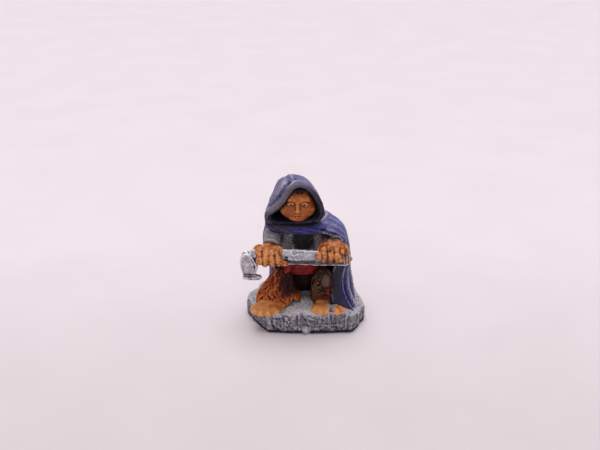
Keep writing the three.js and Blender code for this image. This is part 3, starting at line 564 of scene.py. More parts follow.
def make_legs():
    tz = [3.0, 3.9, 4.8, 5.6, 6.5, 7.4, 8.2]
    for side in ("right", "left"):
        rs = np.random.RandomState(5 if side == "right" else 6)
        if side == "right":
            F = Field([-7.0, -6.2, 2.4], [0.4, 2.4, 8.6], 0.068)
            tw = [2.95, 2.72, 2.28, 1.8, 1.32, 0.98, 0.72]
            axis = lambda z: (np.interp(z, [3.0, 5.0, 7.2], [-3.2, -3.1, -2.7]), np.interp(z, [3.0, 5.0, 7.2], [-2.7, -3.0, -3.3]))
            F.chain([(-2.72, -3.2, 6.9), (-3.0, -3.0, 5.4), (-3.2, -2.7, 3.9)], [1.0, 1.35, 1.5], 0.5)
            F.chain([(-2.7, -3.1, 6.8), (-2.1, -1.6, 6.8), (-1.3, 0.6, 6.3)], [1.0, 1.25, 1.5], 0.4)
            fur(F, rs, axis, lambda z: np.interp(z, tz, tw), 4.5, 7.7, 130, thick=(0.18, 0.3), length=1.7, k=0.1, arc=(-3.6, 0.2), sway=(0.14, 0.32))
        else:
            F = Field([0.0, -6.2, 2.6], [5.2, 2.4, 8.6], 0.068)
            tw = [1.5, 1.46, 1.36, 1.26, 1.15, 1.02, 0.8]
            axis = lambda z: (np.interp(z, [3.0, 5.0, 7.2], [2.6, 2.65, 2.6]), np.interp(z, [3.0, 5.0, 7.2], [-2.5, -2.9, -3.25]))
            F.chain([(2.6, -3.2, 6.9), (2.72, -2.95, 5.2), (2.7, -2.5, 3.9)], [1.0, 1.15, 1.15], 0.5)
            F.ball([2.65, -3.6, 6.2], [0.85, 0.85, 1.2], 0.25)
            F.chain([(2.6, -3.2, 6.8), (2.2, -1.5, 6.7), (1.5, 0.6, 6.3)], [0.95, 1.2, 1.5], 0.4)
            fur(F, rs, axis, lambda z: np.interp(z, tz, tw), 4.1, 7.6, 95, thick=(0.15, 0.24), k=0.12)
            # loose strands that stray over the gap between the legs
            for i in range(14):
                z = 7.0 - 2.8 * i / 14 + rs.uniform(-0.1, 0.1)
                x = 2.2 + rs.uniform(-0.2, 0.3)
                F.chain([(x + 0.5, -4.05, z + 0.1), (x, -4.32, z - 0.15), (x - 0.6, -4.3, z - 0.45 - 0.3 * rs.rand())], [0.07, 0.075, 0.04], 0.05)
            for i in range(16):
                z = 6.4 - 2.4 * i / 16 + rs.uniform(-0.1, 0.1)
                x = 1.95 + rs.uniform(-0.15, 0.2)
                F.chain([(x + 0.35, -3.9, z), (x - 0.2, -4.1, z - 0.3), (x - 0.55 - 0.3 * rs.rand(), -4.1, z - 0.75 - 0.3 * rs.rand())], [0.12, 0.11, 0.06], 0.06)

        def detail(v, n):
            return v + n * (0.035 * fbm(v * [1, 1, 0.4], 0.3, 61, 2))[:, None]

        if side == "right":
            # m1 darkens the right leg's inner side towards the crotch and m3 darkens its top under the sash and fists:
            # painted shade; m2 is a lighter orange near the foot
            extra = {"m1": lambda p: np.clip(sstep(-3.9, -2.3, p["v"][:, 0] + 0.5 * fbm(p["v"], 0.9, 64, 2)) * sstep(3.6, 5.0, p["v"][:, 2]), 0, 1),
                     "m3": lambda p: sstep(4.9, 6.5, p["v"][:, 2] + 0.5 * fbm(p["v"], 1.0, 68, 2)),
                     "m2": lambda p: sstep(4.3, 3.6, p["v"][:, 2] + 0.3 * fbm(p["v"], 0.9, 65, 2))}
        else:
            # m1 is a pinkish-grey painted highlight on the knee
            extra = {"m1": lambda p: sstep(1.15, 0.45, np.sqrt(((p["v"][:, 0] - 3.0) / 0.62) ** 2 + ((p["v"][:, 2] - 6.3) / 1.0) ** 2) + 0.25 * fbm(p["v"], 0.5, 66, 2)) * sstep(-3.2, -3.9, p["v"][:, 1]),
                     "m2": lambda p: sstep(5.5, 4.5, p["v"][:, 2] + 0.4 * fbm(p["v"], 0.9, 67, 2)) * sstep(1.3, 2.5, p["v"][:, 0]),
                     "m3": lambda p: sstep(3.0, 2.2, p["v"][:, 0]) * sstep(7.3, 6.8, p["v"][:, 2]) * sstep(0.3, 0.75, p["edge"])}
        field_piece(f"{side}_leg_sculpt", f"{side}_leg", "fur" if side == "right" else "fur_shadow", F, detail, 1, extra)


# ------------------------------------------------------------------------------------------------ body
def make_body():
    F = Field([-4.2, -2.6, 2.2], [4.1, 4.4, 8.9], 0.11)
    F.ball([0, 1.1, 5.6], [3.4, 2.7, 3.0])

    def creases(v, n):
        d = 0.22 * fbm(v * [1, 1, 0.45], 1.5, 81, 3) - 0.1 * np.abs(np.sin(v[:, 0] * 2.2 + v[:, 2] * 0.5))
        return v + n * d[:, None]

    field_piece("breeches_sculpt", "breeches", "dark_brown", F, creases, 1)

    F = Field([-4.2, -4.5, 5.9], [3.7, 2.9, 9.5], 0.07)
    for z, s, r, ph in ((7.62, 1.0, 0.44, 0.3), (7.98, 1.03, 0.46, 1.4), (8.45, 1.02, 0.46, 2.2), (8.8, 0.98, 0.34, 3.0)):
        pts, rr = [], []
        for k in range(33):
            a = 2 * math.pi * k / 32
            sag = -0.28 * math.cos(a + math.pi / 2) ** 2 if math.sin(a) < 0 else 0
            pts.append((-0.1 + 3.0 * s * math.cos(a), -0.55 + 2.62 * s * math.sin(a), z + 0.07 * math.sin(2 * a + ph) + sag + (0.12 * math.cos(a) if math.sin(a) < 0 else 0)))
            rr.append(r * (1 + 0.08 * math.sin(3 * a + ph)))
        F.chain(pts, rr, 0.16)
    F.ball([-0.1, -0.5, 8.0], [2.9, 2.5, 1.1], 0.1)
    F.chain([(-1.2, -3.05, 8.3), (-1.9, -3.4, 7.8), (-2.5, -3.65, 7.2), (-2.8, -3.7, 6.8)], [0.34, 0.42, 0.44, 0.3], 0.2)
    F.chain([(-1.7, -2.95, 8.2), (-2.5, -3.2, 7.6), (-3.0, -3.35, 7.1)], [0.32, 0.4, 0.3], 0.12)

    def sash(v, n):
        return v + n * (0.09 * fbm(v * [0.35, 0.35, 0.8], 0.6, 72, 3) + 0.02 * fbm(v, 0.3, 73, 2))[:, None]

    field_piece("waist_sash_sculpt", "waist_sash", "red", F, sash, 1)

    def rings(v, n, centre, r, axis_z=True, amp=0.075):
        """Rows of mail: half-overlapping rings, one row's rings between the next row's."""
        if axis_z:
            s = np.arctan2(v[:, 0] - centre[0], -(v[:, 1] - centre[1])) * r
            t = v[:, 2]
        else:
            s = np.arctan2(v[:, 0] - centre[0], v[:, 2] - centre[2]) * r
            t = v[:, 1] * 0.8 + v[:, 2] * 0.6
        s = s + 0.13 * fbm(v, 0.9, 15, 2)
        t = t + 0.13 * fbm(v, 0.8, 16, 2)
        amp = amp * (0.2 + 1.1 * vnoise(v, 0.7, 17))
        pitch, row = 0.46, 0.34
        k = np.floor(t / row)
        out = np.full(len(v), -1.0)
        for dk in (0, 1):
            kk = k + dk
            off = (kk % 2) * 0.5
            u = (s / pitch + off) % 1 - 0.5
            w = (t - (kk + 0.35) * row)
            rad = np.hypot(u * pitch, w * 1.05)
            ring = np.exp(-(((rad - 0.19) / 0.062) ** 2)) * (0.65 + 0.35 * sstep(0.15, -0.2, w))
            out = np.maximum(out, ring)
        return v + n * (amp * out - 0.02 + 0.06 * fbm(v, 0.45, 18, 3))[:, None]

    F = Field([-4.1, -4.2, 7.9], [3.8, 2.6, 14.9], 0.066)
    F.ball([-0.1, -0.4, 9.3], [2.95, 2.55, 2.2], 0.6)
    F.ball([-0.15, -0.7, 11.6], [3.3, 2.75, 2.3], 0.6)
    F.ball([-0.3, -0.9, 13.2], [2.3, 2.1, 1.6], 0.6)
    F.chain([(-1.6, -2.7, 12.9), (-1.1, -3.2, 11.0), (-0.9, -3.05, 9.0)], [0.25, 0.3, 0.25], 0.35)
    F.chain([(1.3, -2.7, 12.9), (1.0, -3.1, 11.0), (1.3, -2.9, 9.0)], [0.25, 0.3, 0.25], 0.35)
    # m1 paints the chest's centre black with no drybrush: the shirt's dark paint, and painted shade under the cowl
    field_piece("mail_shirt_sculpt", "mail_shirt", "mail", F, lambda v, n: rings(v, n, (-0.15, -0.7), 3.2), 1,
                {"m1": lambda p: sstep(1.0, 0.62, np.hypot((p["v"][:, 0] - 0.1) / 2.1, (p["v"][:, 2] - 12.0) / 2.4) + 0.14 * fbm(p["v"], 0.8, 13, 2)),
                 "m2": lambda p: 0.85 * sstep(1.1, 2.1, p["v"][:, 0] + 0.7 * fbm(p["v"], 0.6, 14, 2)) * sstep(12.6, 12.0, p["v"][:, 2])})

    for side, pts, rr in (
        ("right", [(-3.0, -0.9, 12.8), (-3.85, -2.1, 12.05), (-4.0, -3.3, 11.45)], [1.2, 1.15, 1.02]),
        ("left", [(2.9, -0.9, 12.6), (3.8, -1.9, 11.95), (4.0, -3.1, 11.5)], [1.2, 1.12, 1.0]),
    ):
        lo, hi = np.min(pts, 0) - 1.9, np.max(pts, 0) + 1.7
        F = Field(lo, hi, 0.066)
        F.chain(pts, rr, 0.5)
        e, d = np.array(pts[2]), np.array(pts[2]) - np.array(pts[1])
        d = d / np.linalg.norm(d)
        a = np.cross(d, [0, 0, 1.0])
        a /= np.linalg.norm(a)
        b = np.cross(d, a)
        loop = [tuple(e + d * 0.35 + 0.95 * (math.cos(t) * a + math.sin(t) * b)) for t in np.linspace(0, 2 * math.pi, 19)]
        F.chain(loop, [0.17] * 19, 0.14)
        F.rod(e + d * 0.5, e + d * 1.6, 0.74, 0.74, 0.12, "cut")
        c = np.mean(pts, 0)
        # on the left sleeve, m1 paints the top black: painted shade under the cloak's hem
        field_piece(f"{side}_sleeve_sculpt", f"{side}_sleeve", "mail", F, lambda v, n, c=c: rings(v, n, c, 1.15, False, 0.065), 1,
                    {"m1": lambda p: 0.85 * sstep(11.75, 12.05, p["v"][:, 2] + 0.15 * fbm(p["v"], 0.6, 77, 2))} if side == "left" else {})

    for side, pts, rr in (
        ("right", [(-4.05, -2.9, 11.3), (-4.4, -4.0, 10.95), (-4.45, -4.9, 10.8)], [0.8, 0.85, 0.9]),
        ("left", [(4.1, -2.6, 11.4), (4.15, -3.8, 11.35), (4.15, -4.6, 11.3)], [0.8, 0.85, 0.92]),
    ):
        F = Field(np.min(pts, 0) - 1.5, np.max(pts, 0) + 1.5, 0.07)
        F.chain(pts, rr, 0.3)
        field_piece(f"{side}_forearm_sculpt", f"{side}_forearm", "skin", F, lambda v, n: v + n * (0.03 * fbm(v, 0.5, 19, 3))[:, None], 1)


# ------------------------------------------------------------------------------------------------ fists
def make_hands():
    def finger(F, pts, r, k=0.16):
        p = [np.array(q, float) for q in pts]
        F.chain([tuple(q) for q in catmull(np.array(p), 3, False)], list(np.interp(np.linspace(0, 4, 13), range(5), [r * 0.95, r, r, r * 0.97, r * 0.85])), k)
        for j, g in ((1, 1.08), (2, 1.05)):
            F.ball(p[j], [r * g * 0.97, r * g, r * g], 0.18)
        for j in (1, 2):  # a crease across each joint
            m = p[j] * 0.45 + p[j + 1] * 0.55
            out = (p[j] + p[j + 1]) / 2 - np.array([p[j][0], -5.2, 10.5])
            out /= np.linalg.norm(out)
            c = m + out * (r * 1.04)
            F.rod(c - [r * 0.6, 0, 0], c + [r * 0.6, 0, 0], 0.02, 0.02, 0.1, "cut")

    skin = lambda v, n: v + n * (0.13 * fbm(v, 1.0, 23, 3) + 0.05 * fbm(v, 0.4, 26, 2))[:, None]
    F = Field([-7.3, -7.4, 8.3], [-1.0, -3.0, 13.0], 0.055)
    F.rod((-5.35, -4.95, 10.75), (-3.35, -4.95, 10.65), 1.02, 1.08, 0.3)
    F.ball([-4.3, -4.85, 11.05], [1.5, 1.05, 0.62], 0.4)
    F.ball([-5.3, -5.2, 10.4], [0.75, 0.8, 0.9], 0.3)
    F.ball([-4.25, -5.72, 10.35], [1.5, 0.66, 0.85], 0.2)
    for i, x in enumerate((-5.4, -4.66, -3.92, -3.22)):
        f = (i - 1.5) * 0.05
        d = (-0.3, -0.05, 0.0, -0.12)[i]
        low = (0.32, 0.08, 0.0, 0.14)[i]
        lean = (-0.12, -0.06, 0.05, 0.14)[i]
        finger(F, [(x + 0.18 - lean, -5.0, 11.1 + d), (x - f - lean * 0.5, -5.78, 10.95 + d), (x + 0.02, -6.25, 10.35 + d * 0.5), (x + f + lean, -6.1, 9.72 + low), (x + 0.08 + lean, -5.4, 9.4 + low)], (0.47, 0.52, 0.52, 0.48)[i], 0.14)
        F.rod((x * 0.4 - 2.6, -4.6, 11.2), (x + 0.08, -5.6, 11.1 + d), 0.12, 0.15, 0.25)
    F.chain([(-3.4, -5.5, 10.05), (-2.75, -6.1, 9.92), (-2.25, -6.25, 9.8), (-1.9, -6.2, 9.72)], [0.55, 0.47, 0.4, 0.26], 0.2)
    F.ball([-2.0, -6.42, 9.84], [0.18, 0.1, 0.14], 0.05)
    F.ball([-2.75, -6.15, 9.95], [0.42, 0.38, 0.42], 0.15)
    # the heel of the hand wraps the haft at the outer side
    F.chain([(-5.6, -4.6, 11.2), (-6.0, -4.9, 11.05), (-6.15, -5.2, 10.75)], [0.55, 0.45, 0.3], 0.25)
    field_piece("right_hand_sculpt", "right_hand", "skin", F, skin, 1,
                {"m3": lambda p: 0.75 * sstep(0.55, 0.3, np.hypot((p["v"][:, 0] + 3.1) / 0.8, (p["v"][:, 2] - 9.85) / 0.75)),
                 "m1": lambda p: 0.7 * sstep(0.6, 0.75, vnoise(p["v"] * [1.4, 1, 0.7], 0.7, 131))})

    F = Field([1.0, -7.3, 8.5], [7.1, -3.0, 13.4], 0.055)
    F.rod((3.0, -4.7, 11.0), (4.9, -4.7, 10.9), 1.08, 1.08, 0.3)
    F.ball([3.75, -4.85, 11.62], [1.35, 1.1, 0.85], 0.45)
    F.ball([4.7, -4.85, 10.9], [0.5, 0.8, 0.8], 0.35)
    F.ball([3.8, -5.55, 10.85], [1.3, 0.64, 0.8], 0.2)
    for i, x in enumerate((2.84, 3.56, 4.22, 4.74)):
        f = (i - 1.5) * 0.05
        d = (-0.12, 0.0, -0.14, -0.42)[i]
        low = (0.1, 0.0, 0.02, 0.1)[i]
        lean = (-0.1, -0.04, 0.04, 0.06)[i]
        finger(F, [(x - 0.08, -4.75, 11.9 + d), (x + f, -5.65, 11.55 + d), (x, -6.08, 10.85 + d * 0.5), (x - f + lean, -6.0, 10.25 + low), (x - 0.05 + lean, -5.6, 9.95 + low)], (0.47, 0.5, 0.46, 0.38)[i], 0.14)
        F.rod((x * 0.5 + 1.9, -4.4, 12.05), (x, -5.45, 11.8 + d), 0.12, 0.16, 0.25)
    F.chain([(3.2, -5.3, 11.15), (2.6, -5.95, 11.0), (2.1, -6.15, 10.82), (1.85, -6.15, 10.72)], [0.55, 0.5, 0.44, 0.3], 0.2)
    F.ball([1.82, -6.38, 10.86], [0.2, 0.1, 0.16], 0.05)
    F.ball([2.6, -6.0, 11.02], [0.44, 0.38, 0.44], 0.15)
    # m1: darker mottling of the skin, and on the back of the wrist painted shade under the cloak's hem
    field_piece("left_hand_sculpt", "left_hand", "skin", F, skin, 1,
                {"m1": lambda p: np.clip(0.8 * sstep(0.58, 0.72, vnoise(p["v"] * [1.4, 1, 0.7], 0.7, 132))
                                       + 0.95 * sstep(-5.05, -4.65, p["v"][:, 1] + 0.2 * fbm(p["v"], 0.5, 133, 2)) * sstep(11.3, 11.7, p["v"][:, 2]), 0, 1)})


# ------------------------------------------------------------------------------------------------ head
FX = -0.65  # middle of the face


def make_head():
    F = Field([-3.6, -5.0, 13.0], [2.4, 1.2, 19.4], 0.056)
    F.ball([FX, -1.4, 16.85], [2.5, 2.2, 2.4])
    F.ball([FX, -2.1, 15.75], [2.3, 1.65, 1.55], 0.6)
    F.rod((-0.3, -1.2, 13.6), (-0.45, -1.4, 15.2), 1.25, 1.4, 0.3)
    F.ball([FX, -3.1, 14.85], [1.0, 0.55, 0.5], 0.45)
    for s in (-1, 1):
        ex, ey, ez = FX + s * 0.86, -3.42, 16.72
        F.ball([FX + s * 1.4, -2.85, 15.85], [0.8, 0.6, 0.7], 0.4)
        F.ball([ex, -3.9, ez], [0.56, 0.36, 0.32], 0.22, "cut")
        F.chain([(FX + s * 0.42, -3.58, 17.3), (FX + s * 0.9, -3.52, 17.38), (FX + s * 1.4, -3.24, 17.24)], [0.13, 0.14, 0.1], 0.36)
        F.ball([ex, ey + 0.14, ez], 0.43, 0.02)
        pts = [(ex + s * 0.46 * math.cos(t), ey - 0.18 * math.sin(t) - 0.02, ez + 0.02 + 0.14 * math.sin(t)) for t in np.linspace(0.05, math.pi - 0.05, 9)]
        F.chain(pts, [0.08, 0.11, 0.13, 0.15, 0.15, 0.15, 0.13, 0.11, 0.08], 0.06)
        pts = [(ex + s * 0.44 * math.cos(t), ey - 0.1 * math.sin(t) - 0.02, ez - 0.23 * math.sin(t)) for t in np.linspace(0.05, math.pi - 0.05, 9)]
        F.chain(pts, [0.05, 0.06, 0.07, 0.07, 0.08, 0.07, 0.07, 0.06, 0.05], 0.05)
        F.ball([FX + s * 0.27, -3.82, 15.92], [0.22, 0.24, 0.18], 0.12)
    F.ball([FX, -3.2, 17.5], [1.5, 0.5, 0.6], 0.4)
    F.chain([(FX, -3.62, 17.15), (FX, -3.9, 16.4), (FX, -4.1, 15.98)], [0.17, 0.18, 0.26], 0.26)
    F.chain([(FX - 0.6, -3.5, 15.33), (FX - 0.2, -3.76, 15.42), (FX + 0.2, -3.76, 15.42), (FX + 0.6, -3.5, 15.33)], [0.06, 0.11, 0.11, 0.06], 0.12)
    F.chain([(FX - 0.48, -3.5, 15.13), (FX, -3.76, 15.1), (FX + 0.48, -3.5, 15.13)], [0.08, 0.14, 0.08], 0.12)
    F.chain([(FX - 0.64, -3.6, 15.25), (FX, -3.92, 15.26), (FX + 0.64, -3.6, 15.25)], [0.03, 0.045, 0.03], 0.06, "cut")

    def skin(v, n):
        return v + n * (0.05 * fbm(v, 0.7, 29, 3) + 0.02 * fbm(v, 0.25, 28, 2))[:, None]

    def at_eye(p, r, k):
        out = 0
        for s in (-1, 1):
            d = np.hypot((p["v"][:, 0] - (FX + s * 0.86)) / 1.0, (p["v"][:, 2] - 16.71) / k)
            out = out + sstep(r * 1.12, r * 0.9, d) * (p["v"][:, 1] < -3.2)
        return np.clip(out, 0, 1)

    def lips(p):
        return 0.6 * sstep(1.0, 0.7, np.hypot((p["v"][:, 0] - FX) / 0.6, (p["v"][:, 2] - 15.26) / 0.26)) * (p["v"][:, 1] < -3.3)

    def brows(p):
        out = 0
        for s in (-1, 1):
            x = (p["v"][:, 0] - (FX + s * 0.86)) * s
            out = out + sstep(0.12, 0.05, np.abs(p["v"][:, 2] - (17.4 - 0.14 * x * x))) * sstep(0.56, 0.44, np.abs(x)) * (p["v"][:, 1] < -3.1)
        return np.clip(out + lips(p), 0, 1)

    field_piece("head_sculpt", "head", "skin", F, skin, 1, {"m1": lambda p: at_eye(p, 0.19, 0.85), "m2": lambda p: 0.8 * at_eye(p, 0.34, 0.36), "m3": lambda p: 0.7 * brows(p)}, mat="face")

    F = Field([-1.6, -4.5, 17.6], [1.0, -1.8, 19.6], 0.05)
    rs = np.random.RandomState(3)
    for i in range(11):
        x = -0.95 + 1.35 * i / 10
        r = rs.uniform(0.11, 0.15)
        F.chain([(x * 0.8, -2.6, 19.0), (x, -3.25, 18.98 - 0.04 * abs(i - 5)), (x * 0.8 - 0.1, -3.55 - 0.08 * (i % 2), 18.62), (x * 0.62 - 0.16 + rs.uniform(-0.12, 0.12), -3.62 - 0.1 * (i % 2), 18.2 + 0.22 * rs.rand())], [r, r * 1.15, r, 0.035], 0.02)
    field_piece("forelock_sculpt", "forelock", "dark_hair", F, None, 1)


# ------------------------------------------------------------------------------------------------ hood, rim and cowl
ROWS = np.array([
    [19.6, -1.1, -0.7, -1.1, -0.7], [19.42, -2.35, -0.05, -2.5, 0.5], [18.95, -3.05, 0.72, -3.05, 1.25], [18.2, -3.48, 1.25, -3.15, 1.9],
    [17.3, -3.8, 1.85, -3.15, 2.35], [16.3, -4.3, 2.38, -3.15, 2.5], [15.4, -4.68, 2.7, -3.15, 2.5], [14.6, -4.72, 2.55, -3.0, 2.4],
    [14.05, -4.2, 2.0, -2.6, 2.1], [13.8, -1.4, -0.6, -0.9, -0.3]])
RIM = np.array([
    [-0.35, -3.35, 19.28, 0.34], [0.68, -3.4, 18.9, 0.36], [1.55, -3.45, 17.95, 0.42], [2.15, -3.45, 16.8, 0.46], [2.35, -3.45, 15.7, 0.46],
    [2.0, -3.5, 14.85, 0.42], [1.1, -3.7, 14.3, 0.32], [-0.5, -3.9, 14.0, 0.28], [-2.3, -3.85, 13.98, 0.28], [-3.75, -3.6, 14.15, 0.3],
    [-4.5, -3.3, 14.75, 0.34], [-4.35, -3.25, 15.45, 0.4], [-3.4, -3.3, 16.15, 0.42], [-2.6, -3.35, 17.0, 0.42], [-1.95, -3.35, 17.95, 0.4], [-1.25, -3.35, 18.9, 0.36]])


def catmull(P, per=6, closed=True):
    P = np.asarray(P, float)
    n = len(P)
    out = []
    for i in range(n if closed else n - 1):
        a, b, c, d = (P[(i + k) % n] if closed else P[min(max(i + k, 0), n - 1)] for k in (-1, 0, 1, 2))
        for t in np.linspace(0, 1, per, endpoint=False):
            out.append(0.5 * (2 * b + (c - a) * t + (2 * a - 5 * b + 4 * c - d) * t * t + (3 * b - a - 3 * c + d) * t ** 3))
    if not closed:
        out.append(P[-1])
    return np.array(out)


def hood_at(z, col):
    return np.interp(z, HOOD_DENSE[::-1, 0], HOOD_DENSE[::-1, col])


HOOD_DENSE = catmull(ROWS, 8, False)


def hood_form(X, Y, Z, t=0.0):
    zc, H = 16.75, 2.9
    zz = zc + (Z - zc) * (H / (H - t))
    xl, xr, yf, yb = (hood_at(zz, c) for c in (1, 2, 3, 4))
    out = np.maximum(zz - 19.6, 13.8 - zz)
    hx = np.maximum((xr - xl) / 2 - t, 0.05)
    hy = np.maximum((yb - yf) / 2 - t, 0.05)
    kx = np.abs(X - (xl + xr) / 2) / hx
    ky = np.abs(Y - (yf + yb) / 2) / hy
    p = np.where(Y < (yf + yb) / 2, 2.9, 2.15)
    r = (kx ** p + ky ** p) ** (1 / p)
    return np.maximum(((r - 1) * np.minimum(hx, hy)), out).astype(np.float32)


def make_hood():
    F = Field([-5.6, -4.6, 13.3], [3.6, 3.4, 20.2], 0.072)
    X, Y, Z = F.xyz()
    loop = catmull(RIM, 5)
    ring2 = poly_sdf(X[:, 0, :], Z[0, :, :] + 0 * X[:, 0, :], loop[:, [0, 2]])[:, None, :].astype(np.float32)
    F.f = hood_form(X, Y, Z)
    # a collar of cloth carries the shell forward to the rim all round the opening
    collar = smax((np.abs(ring2 + 0.2) - 0.24) + 0 * Y, np.maximum(-3.5 - Y, Y + 0.9) + 0 * ring2, 0.1)
    F.f = smin(F.f, collar.astype(np.float32), 0.35)
    inner = hood_form(X, Y, Z, 0.42)
    F.f = smax(F.f, -inner, 0.12)
    mouth = smax(ring2 + 0.42 + 0 * Y, (Y + 1.2 + 0 * ring2).astype(np.float32), 0.1)
    F.f = smax(F.f, -mouth, 0.12).astype(np.float32)

    def folds(v, n):
        x, y, z = v.T
        front = sstep(1.2, -1.6, y)
        s = poly_sdf(x, z, loop[:, [0, 2]]) + 0.14 * fbm(v, 1.7, 33, 2) + 0.22 * np.clip(y + 3.2, 0, 3)
        out = sstep(-0.2, 0.2, s)
        # the cloth rolls back from the opening, then lies in soft folds that follow it
        d = front * out * (0.1 * np.exp(-(((s - 0.42) / 0.17) ** 2)) - 0.09 * np.exp(-(((s - 0.8) / 0.2) ** 2)) + 0.07 * np.exp(-(((s - 1.3) / 0.25) ** 2)) - 0.05 * np.exp(-(((s - 1.9) / 0.25) ** 2)))
        # the crown has two lobes with a crease that runs down and out between them
        c = x + 2.0 + 0.55 * (19.3 - z) + 0.15 * (y + 1.0)
        on = sstep(15.8, 17.2, z) * sstep(2.6, 0.2, y)
        d += on * (0.08 * np.exp(-(((c + 0.75) / 0.55) ** 2)) - 0.12 * np.exp(-((c / 0.32) ** 2)) + 0.07 * np.exp(-(((c - 0.5) / 0.26) ** 2)))
        # the lower corner at the right cheek flares outwards
        d += 0.16 * np.exp(-(((z - 15.0) / 0.55) ** 2)) * sstep(-3.4, -4.4, x) * front
        d -= 0.05 * np.exp(-(((z - 15.95) / 0.22) ** 2)) * sstep(-3.2, -4.0, x) * front
        # the back gathers towards the neck
        ang = np.arctan2(x + 0.85, y + 0.6)
        back = sstep(-0.8, 0.6, y)
        d += back * 0.1 * np.sin(ang * 5.0 + 0.35 * z + 1.2 * fbm(v, 2.6, 37, 2)) * sstep(19.0, 15.6, z)
        d -= back * 0.1 * np.exp(-(((z - 15.1 - 0.25 * np.sin(2 * ang)) / 0.25) ** 2))
        d += 0.07 * fbm(v * [0.6, 0.6, 1.0], 1.3, 39, 3) + 0.02 * fbm(v, 0.3, 42, 2)
        return v + n * d[:, None]

    # m1 paints the hood's inner wall, the edge of the opening and the hollow under the chin near black: painted shade
    # inside the hood
    def opening(p):
        x, y, z = p["v"].T
        s = poly_sdf(x, z, loop[:, [0, 2]])
        wall = sstep(0.0, -0.07, hood_form(x, y, z, 0.26))
        return np.clip(wall + sstep(0.05, -0.12, s) * sstep(-0.2, -0.8, y) + sstep(14.35, 14.15, z) * sstep(-1.8, -2.4, y) * sstep(1.6, 1.0, x), 0, 1)

    field_piece("hood_sculpt", "hood", "blue_cloth", F, folds, 1, {"m1": opening}, mat="hood_cloth")

    F = Field([-5.6, -4.9, 13.2], [3.4, -1.9, 20.1], 0.06)
    under = sstep(14.75, 14.2, loop[:, 2]) * sstep(-4.4, -3.7, loop[:, 0])
    loop = loop.copy()
    wide = 0.22 * sstep(0.6, -1.4, loop[:, 0]) * sstep(15.0, 15.6, loop[:, 2])
    loop[:, 3] = loop[:, 3] * (0.9 - 0.3 * under + wide)
    loop[:, 1] += 0.55 * under
    F.chain([tuple(p[:3]) for p in loop] + [tuple(loop[0][:3])], list(loop[:, 3]) + [loop[0, 3]], 0.05, flat=(1, 1.2))
    c = np.array([-0.7, 16.4])
    inner = []
    for p in loop:
        out = np.array([p[0], p[2]]) - c
        L = np.linalg.norm(out)
        q = c + out * (1 - p[3] / L)
        inner.append((q[0], p[1] + 0.55, q[1]))
    F.chain(inner + [inner[0]], [0.24] * (len(inner) + 1), 0.14)

    def hem(v, n):
        return v + n * (0.06 * fbm(v, 1.0, 44, 3) + 0.02 * fbm(v, 0.3, 46, 2))[:, None]

    def pale(p):
        x, y, z = p["v"].T
        s = poly_sdf(x, z, loop[:, [0, 2]])
        side = sstep(1.9, 0.2, x + 0.1 * (z - 16)) * sstep(14.6, 15.1, z + 0.25 * x + 1.1)
        return side * sstep(-0.2, 0.0, s + 0.18 * fbm(p["v"], 0.5, 48, 2))

    # m3 paints the rim's inner side and its lower part under the chin near black: painted shade
    def rim_painted_shade(p):
        x, y, z = p["v"].T
        s = poly_sdf(x, z, loop[:, [0, 2]])
        return np.clip(sstep(-0.1, -0.28, s) + sstep(14.8, 14.3, z - 0.12 * np.clip(x, -4, 0)), 0, 1)

    field_piece("hood_rim_sculpt", "hood_rim", "dark_cloth", F, hem, 1, {"m1": pale, "m3": rim_painted_shade}, mat="rim")

    F = Field([-5.7, -4.7, 12.0], [4.4, 3.2, 15.2], 0.075)
    F.ball([-0.75, -0.6, 13.55], [3.95, 3.05, 0.95])
    for pts, r in (
        ([(-4.6, -0.9, 13.8), (-4.1, -2.7, 13.5), (-2.3, -3.5, 13.3), (0.0, -3.6, 13.2), (1.7, -3.4, 13.2), (2.8, -2.9, 13.3)], 0.42),
        ([(-4.4, -0.9, 14.2), (-4.0, -2.6, 13.95), (-2.4, -3.4, 13.8), (-0.4, -3.5, 13.75), (1.2, -3.3, 13.8), (2.1, -2.7, 13.95)], 0.34),
        ([(-3.9, -3.0, 14.05), (-3.1, -3.65, 13.55), (-2.3, -3.8, 13.2)], 0.17),
        ([(0.3, -3.75, 13.3), (1.8, -3.55, 12.95), (3.1, -3.1, 12.9)], 0.26),
        ([(1.0, -3.35, 13.85), (2.2, -3.15, 13.5), (3.2, -2.4, 13.5)], 0.26),
    ):
        F.chain([tuple(p) for p in catmull(np.array(pts), 4, False)], [r] * ((len(pts) - 1) * 4 + 1), 0.3)
    F.chain([(-3.5, -3.55, 13.5), (-2.9, -3.95, 13.35), (-2.3, -4.0, 13.0)], [0.05, 0.07, 0.05], 0.12, "cut")
    for a, b, c in (((-0.9, -4.0, 13.75), (0.4, -4.05, 13.35), (1.9, -3.85, 12.95)), ((0.9, -3.85, 13.9), (2.0, -3.7, 13.45), (3.1, -3.2, 13.15)), ((-2.2, -4.05, 13.7), (-1.4, -4.1, 13.3), (-0.4, -4.05, 12.95))):
        F.chain([tuple(q) for q in catmull(np.array([a, b, c]), 4, False)], [0.09] * 9, 0.16, "cut")

    def cloth(v, n):
        return v + n * (0.14 * fbm(v * [0.5, 0.5, 1.0], 1.0, 47, 3) + 0.03 * fbm(v, 0.35, 49, 2))[:, None]

